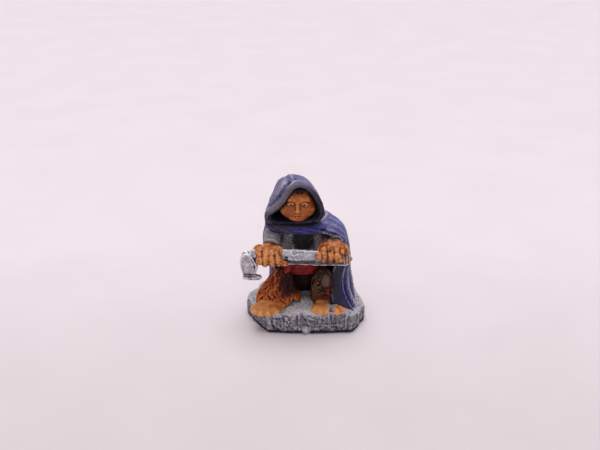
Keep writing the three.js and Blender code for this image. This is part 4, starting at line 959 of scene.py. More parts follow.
    # m3 paints the cowl black just under the chin and on its parts behind the rim: painted shade
    field_piece("cowl_sculpt", "cowl", "dark_cloth", F, cloth, 1, {"m2": lambda p: sstep(-3.0, 0.6, p["v"][:, 0] + 0.5 * fbm(p["v"], 0.9, 50, 2)) * sstep(14.15, 13.75, p["v"][:, 2]),
                 "m1": lambda p: sstep(1.2, 2.6, p["v"][:, 0] + 0.4 * fbm(p["v"], 0.8, 45, 2) - 0.5 * (p["v"][:, 2] - 13.3)),
                 "m3": lambda p: np.clip(sstep(13.78, 14.0, p["v"][:, 2] + 0.05 * np.clip(p["v"][:, 0] + 2, -3, 3)) * sstep(1.9, 1.1, p["v"][:, 0])
                                    + sstep(13.5, 13.75, p["v"][:, 2]) * sstep(-3.15, -2.9, p["v"][:, 1]) * sstep(2.1, 1.6, p["v"][:, 0]) * sstep(-4.3, -3.9, p["v"][:, 0]), 0, 1)})


# ------------------------------------------------------------------------------------------------ cloak
NET = np.array([
    [[-3.7, -2.5, 13.7], [-4.0, -1.6, 14.1], [-3.9, -0.2, 14.4], [-2.6, 1.6, 14.7], [0.0, 2.4, 14.8], [2.2, 1.65, 14.5], [3.1, 0.2, 14.4], [3.0, -1.3, 14.45], [2.2, -2.6, 14.2], [1.2, -3.5, 13.8]],
    [[-4.4, -2.6, 13.1], [-4.7, -1.7, 13.3], [-4.6, -0.2, 13.5], [-3.2, 2.2, 13.8], [0.1, 3.2, 13.9], [3.1, 2.4, 13.55], [4.3, 0.5, 13.55], [4.5, -1.4, 13.7], [3.85, -2.8, 13.35], [2.6, -3.6, 13.0]],
    [[-4.8, -2.4, 12.2], [-4.95, -1.5, 12.2], [-4.85, 0.2, 12.3], [-3.4, 2.8, 12.4], [0.2, 3.9, 12.6], [3.6, 3.2, 12.6], [5.2, 1.0, 12.5], [5.5, -1.2, 12.3], [5.2, -2.6, 12.1], [4.5, -3.4, 12.4]],
    [[-5.0, -1.9, 10.9], [-5.1, -1.0, 10.8], [-5.0, 0.9, 10.8], [-3.5, 3.3, 10.9], [0.2, 4.4, 11.0], [3.8, 3.7, 11.0], [5.6, 1.3, 10.9], [5.9, -1.0, 10.8], [5.8, -2.3, 10.9], [5.55, -3.0, 11.3]],
    [[-4.8, -1.4, 9.2], [-4.95, -0.5, 9.0], [-4.8, 1.4, 8.9], [-3.5, 3.7, 8.8], [0.2, 4.7, 8.9], [3.9, 4.0, 8.9], [5.8, 1.5, 8.9], [6.1, -1.0, 8.9], [5.9, -2.3, 9.0], [5.3, -2.9, 9.3]],
    [[-3.9, -0.9, 7.0], [-4.15, 0.2, 6.9], [-4.2, 1.9, 6.8], [-3.3, 4.0, 6.7], [0.2, 5.0, 6.7], [4.0, 4.4, 6.7], [5.85, 1.9, 6.7], [6.05, -1.0, 6.7], [5.3, -2.95, 6.8], [4.05, -3.0, 7.0]],
    [[-3.75, -0.3, 4.7], [-4.05, 0.9, 4.6], [-4.15, 2.5, 4.5], [-3.4, 4.5, 4.4], [0.2, 5.4, 4.4], [4.0, 4.8, 4.4], [6.15, 2.3, 4.4], [6.38, -1.2, 4.4], [5.4, -3.5, 4.5], [3.92, -3.45, 4.7]],
    [[-4.1, 0.2, 2.9], [-4.6, 1.4, 2.8], [-4.7, 3.1, 2.8], [-3.6, 4.9, 2.8], [0.2, 5.7, 2.8], [4.1, 5.2, 2.8], [6.2, 2.7, 2.7], [6.85, -1.5, 2.4], [6.75, -4.8, 2.2], [3.95, -4.4, 2.85]],
])


def spline_rows(P, t):
    """Centripetal-like smooth interpolation of P's first axis at parameters t in 0..1."""
    P = np.asarray(P, float)
    n = len(P)
    x = np.clip(t, 0, 1) * (n - 1)
    i = np.minimum(np.floor(x).astype(int), n - 2)
    f = (x - i).reshape((-1,) + (1,) * (P.ndim - 1))
    a, b, c, d = P[np.maximum(i - 1, 0)], P[i], P[i + 1], P[np.minimum(i + 2, n - 1)]
    a = np.where((i == 0).reshape(f.shape), 2 * b - c, a)
    d = np.where((i == n - 2).reshape(f.shape), 2 * c - b, d)
    return 0.5 * (2 * b + (c - a) * f + (2 * a - 5 * b + 4 * c - d) * f * f + (3 * b - a - 3 * c + d) * f ** 3)


def make_cloak():
    nu, nv = 270, 150
    u = np.linspace(0, 1, nu)
    w = np.linspace(0, 1, nv)
    g = spline_rows(NET, w)                              # nv, 10, 3
    g = spline_rows(g.transpose(1, 0, 2), u)             # nu, nv, 3
    S = g.transpose(1, 0, 2).copy()                      # nv, nu, 3
    U, V = np.meshgrid(u, w)

    def norm(S):
        du = np.gradient(S, axis=1)
        dv = np.gradient(S, axis=0)
        n = np.cross(du, dv)
        n = n / (np.linalg.norm(n, axis=2, keepdims=True) + 1e-12)
        return -n if n[nv // 2, nu // 2, 1] < 0 else n

    N = norm(S)
    P3 = S.reshape(-1, 3)
    wob = fbm(P3 * [1, 1, 0.5], 3.2, 91, 2).reshape(U.shape) * 0.016
    fall = sstep(0.08, 0.85, V)
    d = np.zeros_like(U)
    # folds that hang from the shoulders: (place at the neck, place at the hem, height, half width, where it starts)
    for u0, u1, a, s, v0 in ((0.12, 0.10, 0.26, 0.02, 0.1), (0.215, 0.185, 0.4, 0.026, 0.05), (0.3, 0.29, 0.3, 0.02, 0.3), (0.385, 0.395, 0.48, 0.03, 0.0), (0.49, 0.485, 0.34, 0.022, 0.25),
                             (0.565, 0.585, 0.46, 0.028, 0.05), (0.65, 0.675, 0.3, 0.02, 0.3), (0.72, 0.755, 0.38, 0.022, 0.15), (0.79, 0.825, 0.3, 0.016, 0.3)):
        c = u0 + (u1 - u0) * V + wob
        k = s * (0.7 + 0.6 * V)
        ridge = np.exp(-(((U - c) / k) ** 2)) - 0.5 * np.exp(-(((U - c - 1.9 * k) / (0.85 * k)) ** 2)) - 0.3 * np.exp(-(((U - c + 2.0 * k) / (0.95 * k)) ** 2))
        d += a * ridge * (0.12 + 0.88 * fall) * sstep(v0 - 0.12, v0 + 0.25, V)
    # soft folds across the left shoulder, fanning out from the neck
    for u0, u1, a in ((0.73, 0.68, 0.05), (0.79, 0.75, 0.09), (0.885, 0.8, 0.07), (0.95, 0.9, 0.1)):
        c = u0 + (u1 - u0) * V / 0.4
        d += a * (np.exp(-(((U - c) / 0.026) ** 2)) - 0.6 * np.exp(-(((U - c - 0.04) / 0.02) ** 2))) * sstep(0.0, 0.08, V) * sstep(0.42, 0.22, V)
    edge = np.minimum(U, 1 - U)
    # the front border turns inwards: a crisp fold line, a flat panel beyond it, and a hem roll over the forearm
    low = sstep(0.42, 0.6, V)
    d += low * (0.11 * np.exp(-(((U - 0.888) / 0.011) ** 2)) - 0.3 * np.exp(-(((U - 0.862) / 0.013) ** 2)) - 0.1 * sstep(0.9, 0.93, U))
    d += 0.15 * np.exp(-(((edge - 0.01) / 0.01) ** 2)) * sstep(0.55, 0.4, V)
    d += 0.1 * np.sin(V * 44.0) * sstep(0.9, 0.97, U) * sstep(0.45, 0.3, V) * sstep(0.04, 0.12, V)
    d -= 0.08 * np.exp(-(((edge - 0.036) / 0.012) ** 2)) * sstep(0.6, 0.4, V)
    d += 0.06 * fbm(P3, 1.4, 95, 3).reshape(U.shape) + 0.025 * fbm(P3 * [1, 1, 0.5], 0.45, 98, 2).reshape(U.shape)
    outer = S + N * d[..., None]
    N2 = norm(outer)
    N2 = N2 / np.linalg.norm(N2, axis=2, keepdims=True)
    thick = 0.5 * (1 - 0.35 * sstep(0.02, 0.0, edge))
    inner = S + N * (d * 0.7 - thick)[..., None]
    # a loop over the outermost rings of both faces, which leaves them unchanged
    m = 3
    for k in range(m):
        f = (1 - math.cos((k + 0.5) / m * math.pi / 2)) * 0.5
        for A, B in ((outer, inner), (inner, outer)):
            pass
    ring_t = [0.18, 0.5, 0.82]
    verts = [outer.reshape(-1, 3), inner.reshape(-1, 3)]
    idx = np.arange(nu * nv).reshape(nv, nu)
    io = idx + nu * nv
    quads = []
    q = np.stack([idx[:-1, :-1], idx[1:, :-1], idx[1:, 1:], idx[:-1, 1:]], -1).reshape(-1, 4)
    qi = np.stack([io[:-1, :-1], io[:-1, 1:], io[1:, 1:], io[1:, :-1]], -1).reshape(-1, 4)
    # the border, walked once round
    path = [(0, j) for j in range(nu)] + [(i, nu - 1) for i in range(1, nv)] + [(nv - 1, j) for j in range(nu - 2, -1, -1)] + [(i, 0) for i in range(nv - 2, 0, -1)]
    path = np.array(path)
    o, n_ = outer[path[:, 0], path[:, 1]], inner[path[:, 0], path[:, 1]]
    mid = S[np.clip(path[:, 0], 1, nv - 2), np.clip(path[:, 1], 1, nu - 2)]
    outw = (S[path[:, 0], path[:, 1]] - S[np.clip(path[:, 0], 2, nv - 3), np.clip(path[:, 1], 2, nu - 3)])
    outw /= np.linalg.norm(outw, axis=1, keepdims=True) + 1e-9
    base = 2 * nu * nv
    rings = [idx[path[:, 0], path[:, 1]]]
    for k, t in enumerate(ring_t):
        verts.append(o * (1 - t) + n_ * t + outw * 0.22 * math.sin(math.pi * t))
        rings.append(base + k * len(path) + np.arange(len(path)))
    rings.append(io[path[:, 0], path[:, 1]])
    bq = []
    for a, b in zip(rings[:-1], rings[1:]):
        a2, b2 = np.roll(a, -1), np.roll(b, -1)
        bq.append(np.stack([a, a2, b2, b], 1))
    v = np.concatenate(verts)
    q = np.concatenate([q, qi] + bq)
    n = normals(v, q)
    k = idx[nv // 2, nu // 2]
    if n[k] @ N[nv // 2, nu // 2] < 0:
        q = q[:, ::-1]
    for t in np.linspace(0, 1, 5):
        occupy((outer * (1 - t) + inner * t).reshape(-1, 3))
    is_in = np.zeros(len(v))
    is_in[nu * nv : 2 * nu * nv] = 1
    lo_edge = 0.893 + 0.022 * sstep(0.62, 0.95, V)
    panel = (sstep(0.0, 0.01, U - lo_edge) * sstep(0.4, 0.5, V)).ravel()
    is_in[: nu * nv] = np.clip(panel + (sstep(0.07, 0.035, V) * sstep(0.3, 0.2, U)).ravel(), 0, 1)
    is_in[2 * nu * nv :] = 0.6
    # m2: deep navy in the valley beside the front fold line, painted shade in the crease
    valley_painted_shade = np.zeros(len(v))
    valley_painted_shade[: nu * nv] = (np.clip(sstep(0.8, 0.86, U) * sstep(0.62, 0.8, V) + sstep(0.84, 0.87, U) * sstep(0.9, 0.87, U) * sstep(0.4, 0.6, V), 0, 1) * (1 - panel.reshape(U.shape))).ravel()
    # m3 darkens the lower front, a band along the top of the front edge over the forearm, and a strip at the hem:
    # painted shade
    low = np.zeros(len(v))
    low[: nu * nv] = (0.88 * sstep(0.42, 0.85, V) * sstep(0.7, 0.8, U) * (1 - panel.reshape(U.shape)) * (1 - valley_painted_shade[: nu * nv].reshape(U.shape)) + sstep(0.05, 0.02, 1 - U) * sstep(0.5, 0.42, V) * sstep(0.02, 0.12, V)
                           + 0.8 * sstep(0.9, 0.97, V) * sstep(0.84, 0.88, U)).ravel().clip(0, 1)
    piece("cloak_sculpt", "cloak", "blue_cloth", v, q, None, 1, {"m1": is_in, "m2": valley_painted_shade, "m3": low})


# ------------------------------------------------------------------------------------------------ axe
HL, HR = np.array([-6.85, -5.3, 10.52]), np.array([5.85, -5.15, 9.9])


def make_axe():
    F = Field([-7.3, -6.5, 8.6], [6.3, -4.0, 12.1], 0.06)
    X, Y, Z = F.xyz()
    d = HR - HL
    L = np.linalg.norm(d)
    d = d / L
    t = np.clip((X - HL[0]) / (HR[0] - HL[0]), 0, 1)
    cy, cz = HL[1] + (HR[1] - HL[1]) * t, HL[2] + (HR[2] - HL[2]) * t
    s = 0.78 + 0.22 * np.sin(np.pi * np.minimum(1, t * 0.9 + 0.06))
    yy, zz = -(Y - cy) / (0.65 * s), (Z - cz) / (1.0 * s)
    ring = np.array([[0.15, 1], [0.85, 0.55], [1.05, -0.02], [0.55, -0.9], [-0.1, -1], [-0.8, -0.6], [-0.9, 0.3], [-0.5, 0.95]])
    out = None
    for i in range(8):
        a, b = ring[i] * [0.65, 1.0], ring[(i + 1) % 8] * [0.65, 1.0]
        e = b - a
        nrm = np.array([-e[1], e[0]])
        nrm = nrm / np.linalg.norm(nrm)
        if nrm @ ((a + b) / 2) < 0:
            nrm = -nrm
        di = nrm[0] * (yy * 0.65) + nrm[1] * zz - nrm @ a
        out = di if out is None else smax(out, di, 0.1)
    ends = np.maximum(HL[0] - X, X - HR[0])
    F.f = smax((out * s).astype(np.float32), (ends + 0 * out).astype(np.float32), 0.2)

    def grain(v, n):
        d = 0.03 * fbm(v * [0.3, 1, 1], 0.35, 52, 3) + 0.07 * fbm(v * [0.7, 1, 1], 0.6, 53, 3)
        nick = sstep(0.74, 0.9, vnoise(v * [0.8, 1, 1], 0.42, 54))
        return v + n * (d - 0.07 * nick)[:, None]

    # m1 paints the lower facet of the haft darker: painted shade on the face turned from the light
    def lower(p):
        t = np.clip((p["v"][:, 0] - HL[0]) / (HR[0] - HL[0]), 0, 1)
        zc = HL[2] + (HR[2] - HL[2]) * t
        w = p["v"][:, 2] - zc + 0.14 * fbm(p["v"], 0.7, 51, 2)
        return sstep(0.12, -0.04, w) * sstep(-0.98, -0.72, w)

    field_piece("axe_haft_sculpt", "axe_haft", "grey_haft", F, grain, 1, {"m1": lower})

    pts = [(-7.5, 10.85), (-7.0, 10.95), (-6.55, 10.6), (-6.1, 10.0), (-5.85, 9.35), (-5.77, 8.78), (-5.96, 8.2), (-6.02, 7.86), (-5.62, 7.74), (-5.3, 7.52), (-5.38, 7.26),
           (-5.95, 7.1), (-7.0, 7.1), (-7.5, 7.55), (-7.85, 8.4), (-8.0, 9.4), (-7.86, 10.3)]
    outline = catmull(np.array(pts), 4)
    F = Field([-8.6, -6.6, 6.5], [-4.7, -4.0, 11.6], 0.052)
    X, Y, Z = F.xyz()
    p2 = poly_sdf(X[:, 0, :], Z[0, :, :] + 0 * X[:, 0, :], outline)[:, None, :]
    down = np.clip((10.0 - Z) / 2.9, 0, 1)
    half = 0.66 - 0.4 * down ** 0.8 + 0.12 * np.exp(-(((Z - 7.45) / 0.3) ** 2))
    F.f = smax(p2.astype(np.float32) + 0 * Y.astype(np.float32), (np.abs(Y + 5.3) - half).astype(np.float32) + 0 * p2.astype(np.float32), 0.22)
    # the socket's collar and the groove above the edge
    F.ball([-7.0, -5.65, 9.6], [0.75, 0.45, 0.85], 0.3)
    F.ball([-6.8, -5.5, 8.7], [0.7, 0.35, 0.6], 0.3)
    F.chain([(-6.5, -5.98, 10.2), (-6.2, -5.9, 9.5), (-6.12, -5.72, 8.8)], [0.06, 0.08, 0.05], 0.12, "cut")
    F.rod((-7.7, -5.72, 8.02), (-5.9, -5.68, 8.0), 0.07, 0.07, 0.14, "cut")
    F.chain([(-7.5, -5.5, 7.5), (-6.4, -5.5, 7.42), (-5.5, -5.45, 7.45)], [0.22, 0.24, 0.2], 0.12)

    def hammer(v, n):
        a1, a2, av = worley(v, 0.8, 8)
        d = 0.05 * (a1 - 0.5) + 0.09 * fbm(v, 0.8, 57, 2) - 0.03 * sstep(0.8, 0.9, vnoise(v, 0.4, 58))
        return v + n * d[:, None]

    field_piece("axe_head_sculpt", "axe_head", "steel", F, hammer, 1, {"m1": lambda p: 0.75 * sstep(8.1, 7.8, p["v"][:, 2] + 0.12 * fbm(p["v"], 0.5, 63, 2)) + 0.45 * sstep(0.58, 0.75, vnoise(p["v"], 0.55, 64))})

    F = Field([4.9, -6.4, 8.8], [7.2, -4.0, 11.2], 0.05)
    F.ball([5.6, -5.25, 10.0], [0.55, 0.62, 0.66])
    for x, r in ((5.32, 0.66), (5.62, 0.68), (5.9, 0.56)):
        pts = [(x, -5.25 + 0.92 * r * math.cos(t), 10.0 + r * math.sin(t)) for t in np.linspace(0, 2 * math.pi, 17)]
        F.chain(pts, [0.1] * 17, 0.05)
    F.ball([6.12, -5.2, 10.0], [0.22, 0.28, 0.28], 0.08)
    field_piece("haft_knob_sculpt", "haft_knob", "steel", F, lambda v, n: v + n * (0.035 * fbm(v, 0.35, 59, 2))[:, None], 1,
                {"m1": lambda p: sstep(0.1, 0.0, np.abs(p["v"][:, 0] - 5.47)) + sstep(0.1, 0.0, np.abs(p["v"][:, 0] - 5.77)),
                 "m2": lambda p: 0.9 * sstep(0.3, 0.45, vnoise(p["v"], 0.5, 62)) * sstep(5.2, 5.3, p["v"][:, 0])}, mat="knob")

    F = Field([-8.1, -6.1, 10.1], [-6.5, -4.5, 11.6], 0.05)
    F.ball([-7.22, -5.3, 10.85], [0.4, 0.46, 0.36])
    F.ball([-7.62, -5.45, 10.95], [0.22, 0.24, 0.2], 0.08)
    field_piece("haft_tip_sculpt", "haft_tip", "steel", F, lambda v, n: v + n * (0.03 * fbm(v, 0.3, 60, 2))[:, None], 1, {"m1": lambda p: 0.85 * np.ones(len(p["v"]))})


import time

_t = time.time()
for make in (make_rock, lambda: make_foot("right"), lambda: make_foot("left"), make_legs, make_body, make_hands, make_head, make_hood, make_cloak, make_axe):
    make()
    print("sculpt", getattr(make, "__name__", "?"), round(time.time() - _t, 1), flush=True)


# ------------------------------------------------------------------------------------------------ masks
def masks():
    near, far = blur(OCC, 2), blur(OCC, 6)
    for p in PIECES:
        v, q, e = p["v"], p["q"], p["e"]
        n = normals(v, q)
        # occ carries painted shade: it drops where the filled grid nearby shuts light out, and drops further on faces
        # that turn down, the shade under things
        a = np.clip(sample(near, v + n * 0.42), 0, 1)
        b = np.clip(sample(far, v + n * 1.25), 0, 1)
        below = np.clip(1 - 0.55 * np.clip(-n[:, 2], 0, 1), 0, 1)
        occ = np.clip(1 - 1.35 * a, 0, 1) ** 0.8 * np.clip(1 - 1.15 * b, 0, 1) ** 0.9 * below
        h = np.median(np.linalg.norm(v[e[:, 0]] - v[e[:, 1]], axis=1))
        fine = smooth(v, e, 5, 0.6)
        broad = smooth(fine, e, 22, 0.6)
        d1 = ((v - fine) * n).sum(1) / (0.16 * h)
        d2 = ((fine - broad) * n).sum(1) / (0.5 * h)
        d = smooth((0.6 * d1 + 0.7 * d2)[:, None], e, 1, 0.5)[:, 0]
        p["n"] = n
        p["occ"] = smooth(occ[:, None], e, 2, 0.5)[:, 0]
        p["cav"] = np.clip(-d, 0, 1.5) / 1.5
        if p["node"] == "hood":
            p["inside"] = hood_form(v[:, 0], v[:, 1], v[:, 2], 0.2)
        p["edge"] = np.clip(d, 0, 1.5) / 1.5


masks()
print("masks", round(time.time() - _t, 1), flush=True)


# ------------------------------------------------------------------------------------------------ paint
def lin(c):
    out = []
    for x in c:
        x = x / 255
        out.append(x / 12.92 if x <= 0.04045 else ((x + 0.055) / 1.055) ** 2.4)
    return (*out, 1.0)


class Nodes:
    def __init__(self, name):
        self.m = bpy.data.materials.new(name)
        self.m.use_nodes = True
        self.t = self.m.node_tree
        self.t.nodes.clear()
        self.out = self.add("ShaderNodeOutputMaterial")
        self.bsdf = self.add("ShaderNodeBsdfPrincipled")
        self.t.links.new(self.bsdf.outputs[0], self.out.inputs["Surface"])
        self.co = self.add("ShaderNodeTexCoord").outputs["Object"]

    def add(self, kind, **kw):
        n = self.t.nodes.new(kind)
        for k, v in kw.items():
            setattr(n, k, v)
        return n

    def link(self, a, b):
        self.t.links.new(a, b)

    def put(self, sock, value):
        if isinstance(value, bpy.types.NodeSocket):
            self.link(value, sock)
        else:
            sock.default_value = value

    def math(self, op, a, b=0.0, clamp=False):
        n = self.add("ShaderNodeMath", operation=op, use_clamp=clamp)
        self.put(n.inputs[0], a)
        self.put(n.inputs[1], b)
        return n.outputs[0]

    def attr(self, name):
        return self.add("ShaderNodeAttribute", attribute_name=name).outputs["Fac"]

    def noise(self, mm, detail=3.0, rough=0.55, stretch=(1, 1, 1), seed=0.0, dist=0.0):
        mp = self.add("ShaderNodeMapping")
        self.link(self.co, mp.inputs["Vector"])
        mp.inputs["Scale"].default_value = [1000 * s / mm for s in stretch]
        mp.inputs["Location"].default_value = (seed, seed * 0.7, seed * 1.3)
        n = self.add("ShaderNodeTexNoise")
        self.link(mp.outputs[0], n.inputs["Vector"])
        n.inputs["Scale"].default_value = 1.0
        n.inputs["Detail"].default_value = detail
        n.inputs["Roughness"].default_value = rough
        n.inputs["Distortion"].default_value = dist
        return n.outputs["Fac"]

    def ramp(self, x, lo, hi, a=0.0, b=1.0):
        n = self.add("ShaderNodeMapRange", interpolation_type="SMOOTHSTEP")
        self.put(n.inputs["Value"], x)
        for k, v in (("From Min", lo), ("From Max", hi), ("To Min", a), ("To Max", b)):
            n.inputs[k].default_value = v
        return n.outputs["Result"]

    def mix(self, f, a, b, kind="MIX"):
        n = self.add("ShaderNodeMix", data_type="RGBA", blend_type=kind)
        self.put(n.inputs["Factor"], f)
        self.put(n.inputs["A"] if False else n.inputs[6], a)
        self.put(n.inputs[7], b)
        return n.outputs[2]

    def bump(self, height, mm, strength=1.0):
        b = self.add("ShaderNodeBump")
        b.inputs["Strength"].default_value = strength
        b.inputs["Distance"].default_value = mm * MM
        self.link(height, b.inputs["Height"])
        self.link(b.outputs[0], self.bsdf.inputs["Normal"])


def paint(name, a, b, dark, light, wash=1.0, dry=1.0, patch=1.3, streak=(1, 1, 1), rough=(0.5, 0.68), metal=0.0, spec=0.4, bump_mm=0.02, m1=None, m2=None, m3=None, wash_at=(0.12, 0.95), light2=None, grit=0.0, order=("m1", "m2", "m3"), cover=None, shade=0.95, veil=0.0, keep=0.15, late=()):
    N = Nodes(name)
    occ, cav, edge = N.attr("occ"), N.attr("cav"), N.attr("edge")
    big = N.noise(patch, 3, 0.6, seed=3.1)
    mid = N.noise(0.45, 3, 0.6, streak, seed=7.7)
    fine = N.noise(0.13, 3, 0.6, streak, seed=1.9)
    col = N.mix(N.ramp(big, 0.38, 0.62), lin(a), lin(b))
    spots = {"m1": m1, "m2": m2, "m3": m3}
    for k in order:
        if spots[k] is not None:
            f = N.math("MULTIPLY", N.attr(k), N.ramp(mid, 0.2, 0.42, 0.75, 1.0))
            col = N.mix(f, col, lin(spots[k]))
    # wash: thin dark paint that settles in the recesses (cav), and painted shade where the occlusion attribute shuts
    # light out (occ)
    shut = N.math("SUBTRACT", 1.0, occ)
    w = N.math("ADD", N.math("MULTIPLY", shut, shade * wash), N.math("MULTIPLY", cav, 1.05 * wash))
    w = N.math("ADD", w, N.math("MULTIPLY", N.math("SUBTRACT", mid, 0.5), 0.35))
    col = N.mix(N.ramp(w, wash_at[0], wash_at[1]), col, lin(dark))
    for k in late:  # a spot painted lighter again after the wash: a painted highlight where the figure's shade would fall
        col = N.mix(N.math("MULTIPLY", N.attr(k), N.ramp(fine, 0.36, 0.62, 0.15, 0.85)), col, lin(spots[k]))
    over = None
    if cover:
        spots = (cover,) if isinstance(cover, str) else cover
        over = N.attr(spots[0])
        for k in spots[1:]:
            over = N.math("MAXIMUM", over, N.attr(k))
    if veil:  # dry streaks of pale paint dragged along the cloth
        lines = N.noise(0.3, 4, 0.7, (1.0, 1.0, 0.16), seed=12.3, dist=0.4)
        streaks = N.math("MULTIPLY", N.ramp(lines, 0.48, 0.68, 0.0, veil), N.ramp(big, 0.35, 0.65, 0.25, 1.0))
        if cover:
            streaks = N.math("MULTIPLY", streaks, N.ramp(over, 0.0, 0.7, 1.0, 0.0))
        col = N.mix(streaks, col, lin(light))
    # drybrush: a nearly dry brush catches the ridges
    d = N.math("MULTIPLY", edge, N.ramp(fine, 0.35, 0.62, 0.35, 1.25))
    d = N.math("MULTIPLY", d, N.math("MULTIPLY", N.ramp(occ, 0.05, 0.6), dry))
    if cover:  # this spot colour lies over the drybrush as well
        d = N.math("MULTIPLY", d, N.ramp(over, 0.0, 1.0, 1.0, keep))
    col = N.mix(N.ramp(d, 0.12, 0.75, 0.0, 0.92), col, lin(light))
    if light2 is not None:
        col = N.mix(N.ramp(d, 0.6, 1.1, 0.0, 0.8), col, lin(light2))
    if grit:
        col = N.mix(N.ramp(fine, 0.55, 0.75, 0.0, grit), col, lin(light))
        col = N.mix(N.ramp(fine, 0.42, 0.25, 0.0, grit), col, lin(dark))
    N.link(col, N.bsdf.inputs["Base Color"])
    N.link(N.ramp(N.math("ADD", mid, N.math("MULTIPLY", cav, 0.3)), 0.3, 0.8, rough[0], rough[1]), N.bsdf.inputs["Roughness"])
    N.bsdf.inputs["Metallic"].default_value = metal
    N.bsdf.inputs["Specular IOR Level"].default_value = spec
    N.bump(N.math("ADD", fine, N.math("MULTIPLY", mid, 0.8)), bump_mm, 0.6)
    return N.m


